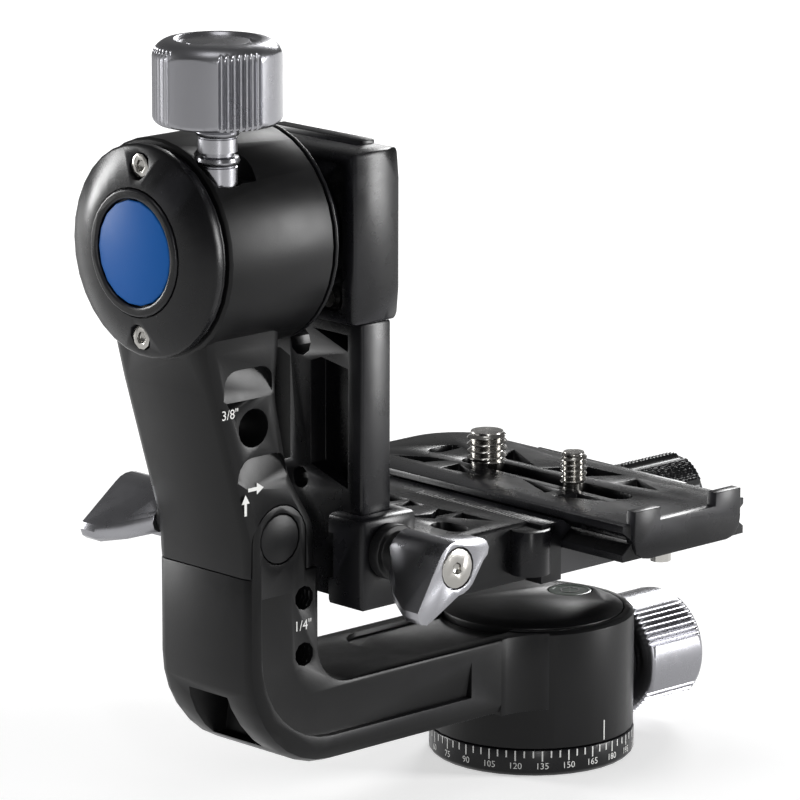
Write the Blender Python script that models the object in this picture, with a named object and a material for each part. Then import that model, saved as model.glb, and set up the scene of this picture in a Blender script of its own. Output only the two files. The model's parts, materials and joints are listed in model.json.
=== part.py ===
"""Folding gimbal tripod head: pan base, fold-up upright, tilt head, hanging cradle and camera plate.

Metres, +Z up.  The origin is the middle of the tripod seat, on the pan axis.  +X runs along the tilt
axis from the upright towards the pan base, and -Y is the end of the camera plate that carries the lip.
"""
import bmesh
import bpy
from math import acos, atan2, cos, degrees, pi, radians, sin, tan
from mathutils import Matrix, Vector

# Clearances and the one overrun for every cut
FIT_GAP = 0.0003
SEAT_GAP = 0.0003
CUT_OVERRUN = 0.0020

# Smoothness of round forms
ROUND_STEPS = 34
SMALL_ROUND_STEPS = 18
SCREW_STEPS = 10
HALF_STEP_SHARE = 0.5
FILLET_STEPS = 4
SHARP_DEGREES = 30

# Pan base
DIAL_RADIUS = 0.0237
DIAL_HEIGHT = 0.0063
DIAL_WALL = 0.0054
DIAL_CHAMFER = 0.0010
BASE_PLATE_HEIGHT = 0.0050
TRIPOD_THREAD_RADIUS = 0.00476
TRIPOD_BUSH_RADIUS = 0.0070
TRIPOD_BUSH_DEPTH = 0.0100
TRIPOD_BUSH_INSET = 0.0003

# Stack inside the pan housing
SPINDLE_FLANGE_RADIUS = 0.0155
SPINDLE_FLANGE_THICKNESS = 0.0015
PAN_BEARING_RADIUS = 0.0157
PAN_BEARING_HEIGHT = 0.0044
PAN_DRUM_RADIUS = 0.0110
PAN_DRUM_HEIGHT = 0.0185
PAN_STUD_RADIUS = 0.0050
PAN_CEILING = 0.0020
PAN_NUT_RADIUS = 0.0090
PAN_NUT_HEIGHT = 0.0030

# Pan housing, cap disc and bubble level
HOUSING_RADIUS = 0.0235
HOUSING_TOP = 0.0340
HOUSING_EDGE = 0.0008
CAP_RADIUS = 0.0210
CAP_SEAT_DEPTH = 0.0020
CAP_RIM_HEIGHT = 0.0019
CAP_TOP_RADIUS = 0.0178
CAP_HEIGHT = 0.0032
LEVEL_OFFSET = 0.0124
LEVEL_RADIUS = 0.0050
LEVEL_DEPTH = 0.0011

# Pan lock
PAN_LOCK_Z = 0.0168
PAN_SHOE_RADIUS = 0.0040
PAN_SHOE_LENGTH = 0.0040
PAN_SHOE_TRAVEL = 0.0003
LOCK_SCREW_RADIUS = 0.0030
PAN_BOSS_RADIUS = 0.0098
PAN_BOSS_X = 0.0246
PAN_COLLAR_RADIUS = 0.0088
PAN_COLLAR_THICKNESS = 0.0010
KNOB_RADIUS = 0.0139
KNOB_CHAMFER = 0.0026
KNOB_SIDES = 4
KNOB_PLAIN_SHARE = 0.53
FLUTES_PER_SIDE = 6
FLUTE_DEPTH = 0.0007
KNOB_DISH_RADIUS = 0.0085
KNOB_DISH_DEPTH = 0.0008
PAN_KNOB_LENGTH = 0.0190

# Lower arm, an L from the pan housing up to the seam
ARM_WIDTH = 0.0310
ARM_EDGE = 0.0028
ARM_INNER_EDGE = 0.0006
FLARE_RADIUS = 0.0200
ARM_TOP = 0.0337
ARM_BOTTOM = 0.0158
ARM_OUTER_X = -0.1010
ARM_INNER_X = -0.0813
ARM_BEND_RADIUS = 0.0240
ARM_INNER_RADIUS = 0.0095
SEAM_HEIGHT = 0.0609
SIDE_SCOOP_BORDER = 0.0030
SIDE_SCOOP_FLOOR_BORDER = 0.0061
SIDE_SCOOP_BEND = 0.0210
SIDE_SCOOP_WIDTH = 0.0085
SIDE_SCOOP_DEPTH = 0.0018
SIDE_SCOOP_TOP = 0.0565
SIDE_SCOOP_END_X = -0.0345
TOP_SCOOP_START_X = -0.0520
TOP_SCOOP_END_X = -0.0170
TOP_SCOOP_WIDTH = 0.0236
TOP_SCOOP_DEPTH = 0.0011
BEND_WINDOW_LOW = 0.0205
BEND_WINDOW_HIGH = 0.0330
BEND_WINDOW_LOW_WIDTH = 0.0160
BEND_WINDOW_HIGH_WIDTH = 0.0125
BEND_WINDOW_DEPTH = 0.0135
SMALL_THREAD_RADIUS = 0.0027
SMALL_THREAD_DEPTH = 0.0055
SMALL_THREAD_X = -0.0856
SMALL_THREAD_LOW_Z = 0.0420
SMALL_THREAD_SPACING = 0.0127

# Fold joint
PIN_X = -0.0926
PIN_Z = 0.0691
PIN_RADIUS = 0.0030
EAR_RADIUS = 0.0074
TONGUE_WIDTH = 0.0174
TONGUE_RADIUS = 0.0063
LIFT_TRAVEL = 0.0140
PIN_COVER_RADIUS = 0.0055
PIN_COVER_THICKNESS = 0.0012
FOLD_COLLAR_RADIUS = 0.0062
FOLD_COLLAR_LENGTH = 0.0024

# Upper arm, from the seam to the tilt barrel
KNEE_FRONT_X = -0.1014
KNEE_HEIGHT = 0.0694
NECK_FRONT_X = -0.1113
NECK_HEIGHT = 0.1029
BARREL_NECK_FRONT_X = -0.1136
BARREL_NECK_REAR_X = -0.0916
BARREL_NECK_HEIGHT = 0.1120
WAIST_REAR_X = -0.0928
WAIST_RISE = 0.0185
HIP_REAR_X = -0.0890
HIP_RISE = 0.0125
REAR_STRIP_HEIGHT = 0.0705
BIG_THREAD_X = -0.1003
BIG_THREAD_Z = 0.0950
BIG_THREAD_RADIUS = 0.0043
DISH_WIDTH = 0.0140
DISH_HEIGHT = 0.0068
DISH_DEPTH = 0.0028
DISH_CORNER = 0.0035
UPPER_DISH_X = -0.1016
UPPER_DISH_TOP = 0.1083
LOWER_DISH_X = -0.0972
LOWER_DISH_TOP = 0.0885

# Tilt barrel
TILT_Z = 0.1337
BARREL_RADIUS = 0.0240
BARREL_FRONT_X = -0.1140
BARREL_REAR_X = -0.0842
BARREL_EDGE = 0.0006
REAR_RING_LENGTH = 0.0008
REAR_RING_RADIUS = 0.0241
REAR_RING_WALL = 0.0050
GROOVE_RING_RADIUS = 0.0228
GROOVE_RING_LENGTH = 0.0010
FRONT_CAP_RADIUS = 0.0231
FRONT_CAP_RIM = 0.0014
FRONT_CAP_DOME = 0.0030
FRONT_CAP_EDGE = 0.0006
FRONT_CAP_HOLLOW_RADIUS = 0.0138
FRONT_CAP_FACE_WALL = 0.0014
BADGE_RING_RADIUS = 0.0138
BADGE_RING_WALL = 0.0021
BADGE_RING_PROUD = 0.0007
BADGE_SEAT_DEPTH = 0.0010
BADGE_RECESS = 0.0004
CAP_SCREW_OFFSET = 0.0186
CAP_SCREW_HEAD_RADIUS = 0.0028
CAP_SCREW_SHANK_RADIUS = 0.0015
CAP_SCREW_HEAD_HEIGHT = 0.0015
CAP_SCREW_LENGTH = 0.0085
CAP_SCREW_SINK = 0.0003
HEX_SOCKET_RADIUS = 0.0013
HEX_SOCKET_DEPTH = 0.0009

# Tilt spindle, bearings and nut
TILT_SHAFT_RADIUS = 0.0105
TILT_THREAD_RADIUS = 0.0070
TILT_THREAD_LENGTH = 0.0030
TILT_NUT_RADIUS = 0.0130
TILT_NUT_THICKNESS = 0.0024
TILT_BEARING_RADIUS = 0.0157
TILT_BEARING_LENGTH = 0.0050
TILT_BEARING_INSET = 0.0010
TILT_SPACER_LENGTH = 0.0070
TILT_HUB_RADIUS = 0.0155
HUB_EDGE = 0.0008

# Tilt lock
TILT_LOCK_X = -0.1085
TILT_LOCK_Y = -0.0137
STEM_RADIUS = 0.00445
STEM_BAND_RADIUS = 0.0048
STEM_NECK_RADIUS = 0.0037
STEM_SHOULDER_Z = 0.1490
COTTER_LENGTH = 0.0160
COTTER_TRAVEL = 0.0003
LOCK_SCOOP_RADIUS = 0.0065
LOCK_SCOOP_X = -0.1070
LOCK_SCOOP_Y = -0.0145
LOCK_SCOOP_Z = 0.1493
TILT_KNOB_LOW = 0.1620
TILT_KNOB_LENGTH = 0.0182

# Cradle block
BLOCK_FRONT_X = -0.0770
BLOCK_REAR_X = -0.0630
BLOCK_WIDTH = 0.0440
BLOCK_LOW = 0.1145
BLOCK_HIGH = 0.1523
BLOCK_EDGE = 0.0012
BLOCK_RECESS_WIDTH = 0.0370
BLOCK_RECESS_DEPTH = 0.0022
BLOCK_RECESS_BORDER = 0.0026
BACK_WALL_WIDTH = 0.0290
BACK_WALL_THICKNESS = 0.0045
BACK_WALL_RISE = 0.0009
BACK_SLIT_WIDTH = 0.0016
BACK_SLIT_DEPTH = 0.0060
SIDE_FACET_LENGTH = 0.0073
SIDE_FACET_DEPTH = 0.0023
CHAMFER_FADE_SHARE = 0.75
HUB_BOLT_RADIUS = 0.0040
HUB_BOLT_HEAD_RADIUS = 0.0060
HUB_BOLT_HEAD_HEIGHT = 0.0040
HUB_BOLT_LENGTH = 0.0230
HUB_BOLT_SINK = 0.0010

# Rail that hangs from the block
RAIL_FRONT_X = -0.0723
RAIL_REAR_X = -0.0634
RAIL_WIDTH = 0.0392
RAIL_LOW = 0.0515
RAIL_EDGE = 0.0008
RAIL_TONGUE_THICKNESS = 0.0050
RAIL_TONGUE_WIDTH = 0.0330
RAIL_TONGUE_HEIGHT = 0.0110
RAIL_RIB = 0.0066
RAIL_BORDER = 0.0044
RAIL_POCKET_DEPTH = 0.0045
RAIL_POCKET_LOW = 0.0765
RAIL_POCKET_HIGH = 0.1035
RAIL_POCKET_SLANT = 0.0040
RAIL_WINDOW_LOW = 0.1073
RAIL_WINDOW_HIGH = 0.1110
RAIL_EYE_RADIUS = 0.0033
RAIL_EYE_Z = 0.1075
RAIL_LOWER_EYE_RADIUS = 0.0025
RAIL_LOWER_EYE_Z = 0.0767
RAIL_SCREW_RADIUS = 0.0015
RAIL_SCREW_HEAD_RADIUS = 0.0024
RAIL_SCREW_HEAD_HEIGHT = 0.0018
RAIL_SCREW_SPREAD = 0.0135
RAIL_SCREW_LENGTH = 0.0060

# Carriage that slides on the rail
CARRIAGE_FRONT_X = -0.0760
CARRIAGE_WALL = 0.0042
CARRIAGE_LOW = 0.0510
CARRIAGE_HIGH = 0.0715
CARRIAGE_BACK_X = -0.0604
CARRIAGE_MOUTH_WIDTH = 0.0260
CARRIAGE_MOUTH_STEP = 0.0015
CARRIAGE_STEP_LOW = 0.0569
CARRIAGE_STEP_HIGH = 0.0673
CARRIAGE_EDGE = 0.0012
GIB_THICKNESS = 0.0012
GIB_LENGTH = 0.0130
GIB_WIDTH = 0.0060
GIB_TRAVEL = 0.0003
WING_X = -0.0685
WING_Z = 0.0640
WING_COLLAR_RADIUS = 0.0062
WING_COLLAR_LENGTH = 0.0058

# Wing knobs
WING_HUB_RADIUS = 0.0062
WING_TIP_RADIUS = 0.0026
WING_LONG = 0.0126
WING_SHORT = 0.0074
WING_LENGTH = 0.0155
WING_LONG_DEGREES = 222
WING_SHORT_DEGREES = 23
FOLD_WING_DEGREES = 200
HUB_DISC_RADIUS = 0.0045
HUB_DISC_THICKNESS = 0.0012
WING_SCREW_REACH = 0.0090

# Platform and the plate clamp
PLATFORM_LOW = 0.0495
PLATFORM_TOP = 0.0630
PLATFORM_WIDTH = 0.0490
PLATFORM_CORNER = 0.0040
PLATFORM_EDGE = 0.0008
JAW_START_X = -0.0262
JAW_WIDTH = 0.0580
FINGER_RADIUS = 0.0046
FINGER_X = -0.0276
FINGER_LOW = 0.0520
CLAMP_BED_TOP = 0.0564
CLAMP_BED_END_X = 0.0160
CLAMP_BED_WIDTH = 0.0560
CLAMP_BED_CHAMFER = 0.0060
JAW_END_X = 0.0262
JAW_CORNER = 0.0050
CLAMP_SCREW_RADIUS = 0.0023
CLAMP_SCREW_Z = 0.0530
CLAMP_SCREW_START_X = -0.0100
CLAMP_KNOB_X = 0.0300
CLAMP_KNOB_LENGTH = 0.0185
CLAMP_KNOB_RADIUS = 0.0095
CLAMP_KNOB_CHAMFER = 0.0010
CLAMP_KNOB_SCOOPS = 6
CLAMP_SCOOP_SHARE = 0.36
CLAMP_SCOOP_DEPTH = 0.0008
CLAMP_NECK_RADIUS = 0.0052
PLATFORM_POCKET_DEPTH = 0.0060
PLATFORM_HOLE_WIDTH = 0.0056
PLATFORM_HOLE_LENGTH = 0.0100
PLATFORM_HOLE_X = -0.0420
PLATFORM_HOLE_BORDER = 0.0035

# Camera plate
PLATE_WIDTH = 0.0390
PLATE_LOW = 0.0567
PLATE_TOP = 0.0650
PLATE_FRONT_Y = -0.0490
PLATE_BACK_Y = 0.0460
PLATE_CORNER = 0.0130
GROOVE_LOW = 0.0585
GROOVE_HIGH = 0.0635
GROOVE_DEPTH = 0.0032
LIP_THICKNESS = 0.0028
LIP_WIDTH = 0.0340
LIP_CORNER = 0.0045
UPSTAND_HEIGHT = 0.0030
UPSTAND_WIDTH = 0.0081
SLOT_WIDTH = 0.0060
SLOT_FRONT_Y = -0.0305
SLOT_BACK_Y = 0.0220
CHANNEL_WIDTH = 0.0136
CHANNEL_HEIGHT = 0.0045
CHANNEL_MARGIN = 0.0035
PLATE_POCKET_DEPTH = 0.0026
END_SLOT_WIDTH = 0.0040
END_SLOT_LENGTH = 0.0091
END_SLOT_X = 0.0028
END_SLOT_Y = 0.0320

# Camera screws and stop pins
BIG_STUD_RADIUS = 0.00476
BIG_STUD_Y = 0.0150
SMALL_STUD_RADIUS = 0.00318
SMALL_STUD_Y = -0.0130
STUD_RISE = 0.0078
STUD_SHANK_RADIUS = 0.0026
STUD_CHAMFER = 0.0007
STUD_HEAD_RADIUS = 0.0050
STUD_HEAD_HEIGHT = 0.0014
STUD_WASHER_RADIUS = 0.0060
STUD_WASHER_THICKNESS = 0.0010
STOP_PIN_RADIUS = 0.0024
STOP_PIN_DROP = 0.0038
STOP_PIN_SINK = 0.0022
STOP_PIN_SHANK_RADIUS = 0.0014
STOP_PIN_FRONT_Y = -0.0405
STOP_PIN_BACK_Y = 0.0395

# Sections of a wing knob, as shares of its length and of its wings' full reach
WING_SECTION_SHARES = ((0, 0.35), (0.35, 0.75), (0.7, 1), (1, 1))

# Lightening pockets as shares of the plate's half width and half length, and of the platform's
PLATE_POCKET_SHARES = (
    ((-0.52, 0.76), (-0.50, 0.56), (-0.22, 0.50), (-0.28, 0.62)),
    ((-0.54, 0.42), (-0.24, 0.42), (-0.48, 0.18)),
    ((-0.24, -0.03), (-0.28, -0.31), (-0.51, -0.30)),
    ((-0.53, -0.38), (-0.27, -0.42), (-0.28, -0.64)),
    ((0.30, 0.44), (0.72, 0.44), (0.34, 0.14)),
    ((0.30, 0.06), (0.74, -0.06), (0.76, -0.32), (0.38, -0.20)),
    ((0.40, -0.40), (0.73, -0.42), (0.52, -0.65)),
)
PLATFORM_POCKET_SHARES = (
    ((0.60, 0.27), (0.84, 0.31), (0.82, 0.09)),
    ((0.50, -0.07), (0.74, -0.23), (0.62, -0.34)),
    ((0.72, -0.40), (0.86, -0.35), (0.86, -0.80)),
)

BLACK_ANODISED = ((0.013, 0.013, 0.014), 1.0, 0.42)
BLACK_SATIN = ((0.016, 0.016, 0.017), 0.6, 0.35)
SILVER = ((0.60, 0.60, 0.61), 1.0, 0.28)
STEEL = ((0.50, 0.50, 0.51), 1.0, 0.30)
BRASS = ((0.62, 0.46, 0.20), 1.0, 0.32)
BLUE = ((0.010, 0.080, 0.360), 0.0, 0.30)
NYLON = ((0.020, 0.020, 0.020), 0.0, 0.50)
LEVEL_GREEN = ((0.35, 0.62, 0.10), 0.0, 0.10)

ABOUT_X = Matrix.Rotation(pi / 2, 4, "Y")
ABOUT_Y = Matrix.Rotation(-pi / 2, 4, "X")
ABOUT_Z = Matrix.Identity(4)


def clear_scene():
    for item in list(bpy.data.objects):
        bpy.data.objects.remove(item, do_unlink=True)


def finish(name, look):
    """One Principled material from a colour, a metallic value and a roughness."""
    colour, metallic, roughness = look
    material = bpy.data.materials.new(name)
    material.use_nodes = True
    shader = material.node_tree.nodes["Principled BSDF"]
    shader.inputs["Base Color"].default_value = (*colour, 1)
    shader.inputs["Metallic"].default_value = metallic
    shader.inputs["Roughness"].default_value = roughness
    return material


def make_object(name, mesh_edit, origin, look):
    """Turn a bmesh in head coordinates into an object with its own origin; no look makes it a cutter."""
    bmesh.ops.recalc_face_normals(mesh_edit, faces=mesh_edit.faces)
    mesh = bpy.data.meshes.new(name)
    mesh_edit.to_mesh(mesh)
    mesh_edit.free()
    mesh.transform(Matrix.Translation(-Vector(origin)))
    mesh.shade_smooth()
    mesh.set_sharp_from_angle(angle=radians(SHARP_DEGREES))
    item = bpy.data.objects.new(name, mesh)
    item.location = origin
    bpy.context.collection.objects.link(item)
    if look:
        mesh.materials.append(finish(name, look))
    else:
        item.hide_render = True
        item.display_type = "WIRE"
    return item


def turned(name, profile, turn, centre, look, steps=SMALL_ROUND_STEPS):
    """Revolve a closed (radius, height) profile about an axis through the centre."""
    mesh_edit = bmesh.new()
    rings = []
    for radius, height in profile:
        if radius:
            angles = [2 * pi * (step + HALF_STEP_SHARE) / steps for step in range(steps)]
            rings.append([mesh_edit.verts.new((radius * cos(angle), radius * sin(angle), height))
                          for angle in angles])
        else:
            rings.append([mesh_edit.verts.new((0, 0, height))])
    for first, second in zip(rings, rings[1:] + rings[:1]):
        for step in range(steps):
            following = (step + 1) % steps
            corners = [first[step % len(first)], first[following % len(first)],
                       second[following % len(second)], second[step % len(second)]]
            unique = list(dict.fromkeys(corners))
            if len(unique) > 2:
                mesh_edit.faces.new(unique)
    bmesh.ops.transform(mesh_edit, matrix=Matrix.Translation(centre) @ turn, verts=mesh_edit.verts)
    return make_object(name, mesh_edit, centre, look)


def rod_profile(radius, low, high, chamfer=0):
    if chamfer:
        return [(0, low), (radius - chamfer, low), (radius, low + chamfer),
                (radius, high - chamfer), (radius - chamfer, high), (0, high)]
    return [(0, low), (radius, low), (radius, high), (0, high)]


def ring_profile(inner, outer, low, high):
    return [(inner, low), (outer, low), (outer, high), (inner, high)]


def prism_mesh(outline, axis, low, high):
    """Extrude an outline along one axis; its points are the other two coordinates in X, Y, Z order."""
    mesh_edit = bmesh.new()

    def ring(along):
        if axis == "X":
            places = [(along, first, second) for first, second in outline]
        elif axis == "Y":
            places = [(first, along, second) for first, second in outline]
        else:
            places = [(first, second, along) for first, second in outline]
        return [mesh_edit.verts.new(place) for place in places]

    bottom = ring(low)
    top = ring(high)
    mesh_edit.faces.new(bottom)
    mesh_edit.faces.new(top)
    for index in range(len(outline)):
        following = (index + 1) % len(outline)
        mesh_edit.faces.new((bottom[index], bottom[following], top[following], top[index]))
    return mesh_edit


def prism(name, outline, axis, low, high, origin, look, edge=0):
    item = make_object(name, prism_mesh(outline, axis, low, high), origin, look)
    if edge:
        soften(item, edge)
    return item


def soften(item, width):
    """A rolled edge along every sharp corner."""
    bevel = item.modifiers.new("rolled_edges", "BEVEL")
    bevel.width = width
    bevel.segments = 2
    bevel.limit_method = "ANGLE"
    bevel.angle_limit = radians(2 * SHARP_DEGREES)


def box_outline(low_a, high_a, low_b, high_b):
    return [(low_a, low_b), (high_a, low_b), (high_a, high_b), (low_a, high_b)]


def filleted(points, radii, steps=FILLET_STEPS):
    """Round the corners of an outline, each by its own radius; zero keeps a corner sharp."""
    outline = []
    for index, corner in enumerate(points):
        radius = radii[index]
        here = Vector(corner)
        if not radius:
            outline.append(tuple(here))
            continue
        before = (Vector(points[index - 1]) - here).normalized()
        after = (Vector(points[(index + 1) % len(points)]) - here).normalized()
        opening = acos(max(-1, min(1, before.dot(after))))
        reach = radius / tan(opening / 2)
        centre = here + (before + after).normalized() * radius / sin(opening / 2)
        start = here + before * reach - centre
        end = here + after * reach - centre
        sweep = start.angle_signed(end)
        for step in range(steps + 1):
            turn = -sweep * step / steps
            outline.append((centre.x + start.x * cos(turn) - start.y * sin(turn),
                            centre.y + start.x * sin(turn) + start.y * cos(turn)))
    return outline


def arc_points(centre_a, centre_b, radius, start_degrees, end_degrees, steps):
    angles = [radians(start_degrees + (end_degrees - start_degrees) * step / steps)
              for step in range(steps + 1)]
    return [(centre_a + radius * cos(angle), centre_b + radius * sin(angle)) for angle in angles]


def slot_outline(centre_a, low_b, high_b, half_width):
    """A slot with round ends, its long way along the second coordinate."""
    steps = 2 * FILLET_STEPS
    return (arc_points(centre_a, high_b - half_width, half_width, 0, 180, steps)
            + arc_points(centre_a, low_b + half_width, half_width, 180, 360, steps))


def combine(item, operation, *tools):
    for tool in tools:
        step = item.modifiers.new(tool.name, "BOOLEAN")
        step.operation = operation
        step.solver = "EXACT"
        step.object = tool
    return item


def cut(item, *tools):
    return combine(item, "DIFFERENCE", *tools)


def join(item, *tools):
    return combine(item, "UNION", *tools)


def bore(name, radius, turn, centre, low, high, steps=SMALL_ROUND_STEPS):
    return turned(name, rod_profile(radius, low, high), turn, centre, None, steps)


def form(name, outline, axis, low, high, edge=0):
    return prism(name, outline, axis, low, high, (0, 0, 0), None, edge)


# Pan base: what screws to the tripod and stays still

def pan_levels():
    """Heights in the stack inside the pan housing, from the base plate up."""
    flange = BASE_PLATE_HEIGHT + SEAT_GAP
    bearing = flange + SPINDLE_FLANGE_THICKNESS + SEAT_GAP
    drum_top = flange + SPINDLE_FLANGE_THICKNESS + PAN_DRUM_HEIGHT
    ceiling = drum_top + SEAT_GAP
    nut = ceiling + PAN_CEILING + SEAT_GAP
    return flange, bearing, drum_top, ceiling, nut


def dial_ring():
    inner = DIAL_RADIUS - DIAL_WALL
    profile = [(inner, 0), (DIAL_RADIUS - DIAL_CHAMFER, 0), (DIAL_RADIUS, DIAL_CHAMFER),
               (DIAL_RADIUS, DIAL_HEIGHT), (inner, DIAL_HEIGHT)]
    turned("dial_ring", profile, ABOUT_Z, (0, 0, 0), BLACK_ANODISED, ROUND_STEPS)


def base_plate():
    outer = DIAL_RADIUS - DIAL_WALL - FIT_GAP
    profile = ring_profile(TRIPOD_BUSH_RADIUS + FIT_GAP, outer, 0, BASE_PLATE_HEIGHT)
    turned("base_plate", profile, ABOUT_Z, (0, 0, 0), BLACK_ANODISED)


def tripod_bush():
    profile = ring_profile(TRIPOD_THREAD_RADIUS, TRIPOD_BUSH_RADIUS, TRIPOD_BUSH_INSET, TRIPOD_BUSH_DEPTH)
    turned("tripod_bush", profile, ABOUT_Z, (0, 0, 0), STEEL)


def pan_spindle():
    """Flanged spindle on the base plate; the pan lock presses on its drum and the nut holds the housing."""
    flange, _, drum_top, _, nut = pan_levels()
    hollow = TRIPOD_BUSH_RADIUS + FIT_GAP
    hollow_top = TRIPOD_BUSH_DEPTH + SEAT_GAP
    profile = [(hollow, flange), (SPINDLE_FLANGE_RADIUS, flange),
               (SPINDLE_FLANGE_RADIUS, flange + SPINDLE_FLANGE_THICKNESS),
               (PAN_DRUM_RADIUS, flange + SPINDLE_FLANGE_THICKNESS), (PAN_DRUM_RADIUS, drum_top),
               (PAN_STUD_RADIUS, drum_top), (PAN_STUD_RADIUS, nut + PAN_NUT_HEIGHT),
               (0, nut + PAN_NUT_HEIGHT), (0, hollow_top), (hollow, hollow_top)]
    turned("pan_spindle", profile, ABOUT_Z, (0, 0, 0), STEEL)


def pan_bearing():
    _, bearing, _, _, _ = pan_levels()
    profile = ring_profile(PAN_DRUM_RADIUS + FIT_GAP, PAN_BEARING_RADIUS, bearing,
                           bearing + PAN_BEARING_HEIGHT)
    turned("pan_bearing", profile, ABOUT_Z, (0, 0, 0), STEEL)


def pan_nut():
    _, _, _, _, nut = pan_levels()
    profile = ring_profile(PAN_STUD_RADIUS + FIT_GAP, PAN_NUT_RADIUS, nut, nut + PAN_NUT_HEIGHT)
    turned("pan_nut", profile, ABOUT_Z, (0, 0, 0), STEEL)


# Lower arm: one casting of the pan housing and the foot of the upright

def lower_arm_outline():
    """Side view of the L; it runs up past the fold pin, where a cut leaves the seam and the ears."""
    over = PIN_Z + 2 * EAR_RADIUS
    corners = [(0, ARM_BOTTOM), (ARM_OUTER_X, ARM_BOTTOM), (ARM_OUTER_X, over), (ARM_INNER_X, over),
               (ARM_INNER_X, ARM_TOP), (0, ARM_TOP)]
    return filleted(corners, [0, ARM_BEND_RADIUS, 0, 0, ARM_INNER_RADIUS, 0], 2 * FILLET_STEPS)


def lower_arm_roll():
    """The arm's outer side alone, whose rolled edges the arm takes on; its inner edges stay crisp."""
    over = PIN_Z + 2 * EAR_RADIUS
    corners = [(0, ARM_BOTTOM), (ARM_OUTER_X, ARM_BOTTOM), (ARM_OUTER_X, over), (0, over)]
    return filleted(corners, [0, ARM_BEND_RADIUS, 0, 0], 2 * FILLET_STEPS)


def flare(name, side):
    """The hollow curve that runs the arm's side into the round of the housing."""
    centre_y = ARM_WIDTH / 2 + FLARE_RADIUS
    reach = HOUSING_RADIUS + FLARE_RADIUS
    centre_x = -(reach ** 2 - centre_y ** 2) ** 0.5
    turn = degrees(atan2(centre_y, -centre_x))
    curve = arc_points(centre_x, -centre_y, FLARE_RADIUS, turn, 90, 2 * FILLET_STEPS)
    inside = ARM_WIDTH / 4
    outline = curve + [(centre_x, -inside), (curve[0][0], -inside)]
    return form(name, [(x, -side * y) for x, y in outline], "Z", ARM_BOTTOM, ARM_TOP)


def ear_arch(grow, low):
    """The round-topped ear that carries the fold pin, grown by a gap where another piece clears it."""
    radius = EAR_RADIUS + grow
    arch = arc_points(PIN_X, PIN_Z, radius, 0, 180, 3 * FILLET_STEPS)
    return [(PIN_X + radius, low)] + arch + [(PIN_X - radius, low)]


def seam_cut():
    """All above the seam but the ears, so that they keep the rolled corners of the arm."""
    over = 2 * (PIN_Z + EAR_RADIUS)
    return (ear_arch(0, SEAM_HEIGHT) + [(2 * ARM_OUTER_X, SEAM_HEIGHT), (2 * ARM_OUTER_X, over), (0, over),
                                        (0, SEAM_HEIGHT)])


def scoop_path(offset):
    """The line of the side scoop round the L, moved in from its outer border."""
    outer_x = ARM_OUTER_X + SIDE_SCOOP_BORDER + offset
    floor = ARM_BOTTOM + SIDE_SCOOP_FLOOR_BORDER + offset
    bend = SIDE_SCOOP_BEND - offset
    arc = arc_points(outer_x + bend, floor + bend, bend, 180, 270, 2 * FILLET_STEPS)
    return [(outer_x, SIDE_SCOOP_TOP)] + arc + [(SIDE_SCOOP_END_X, floor)]


def side_scoop(name, side):
    """A channel along the L that is deepest at its outer border and runs out to nothing on the inside."""
    mesh_edit = bmesh.new()
    face = side * ARM_WIDTH / 2
    floor = face - side * SIDE_SCOOP_DEPTH
    above = face + side * CUT_OVERRUN
    outer = scoop_path(0)
    inner = scoop_path(SIDE_SCOOP_WIDTH)
    stations = []
    for (outer_x, outer_z), (inner_x, inner_z) in zip(outer, inner):
        stations.append([mesh_edit.verts.new(place) for place in (
            (outer_x, floor, outer_z), (inner_x, face, inner_z),
            (inner_x, above, inner_z), (outer_x, above, outer_z))])
    for first, second in zip(stations, stations[1:]):
        for index in range(4):
            following = (index + 1) % 4
            mesh_edit.faces.new((first[index], first[following], second[following], second[index]))
    mesh_edit.faces.new(stations[0])
    mesh_edit.faces.new(stations[-1])
    return make_object(name, mesh_edit, (0, 0, 0), None)


def pan_cavity():
    """All that is hollow inside the pan housing, from the bearing seat up to the seat of the cap."""
    _, bearing, _, ceiling, nut = pan_levels()
    wide = PAN_BEARING_RADIUS + FIT_GAP
    ledge = bearing + PAN_BEARING_HEIGHT + SEAT_GAP
    drum = PAN_DRUM_RADIUS + FIT_GAP
    stud = PAN_STUD_RADIUS + FIT_GAP
    nut_room = PAN_NUT_RADIUS + FIT_GAP
    seat = HOUSING_TOP - CAP_SEAT_DEPTH
    top = HOUSING_TOP + CUT_OVERRUN
    profile = [(0, 0), (wide, 0), (wide, ledge), (drum, ledge), (drum, ceiling), (stud, ceiling),
               (stud, nut - SEAT_GAP), (nut_room, nut - SEAT_GAP), (nut_room, seat),
               (CAP_RADIUS + FIT_GAP, seat), (CAP_RADIUS + FIT_GAP, top), (0, top)]
    return turned("pan_cavity", profile, ABOUT_Z, (0, 0, 0), None, ROUND_STEPS)


def pan_lock_bore():
    """Stepped bore of the pan lock: wide round the brake shoe, then the thread of the screw."""
    shoe = PAN_SHOE_RADIUS + FIT_GAP
    step = PAN_DRUM_RADIUS + FIT_GAP + PAN_SHOE_LENGTH + PAN_SHOE_TRAVEL + SEAT_GAP
    screw = LOCK_SCREW_RADIUS + FIT_GAP
    end = PAN_BOSS_X + CUT_OVERRUN
    profile = [(0, 0), (shoe, 0), (shoe, step), (screw, step), (screw, end), (0, end)]
    return turned("pan_lock_bore", profile, ABOUT_X, (0, 0, PAN_LOCK_Z), None)


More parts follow.
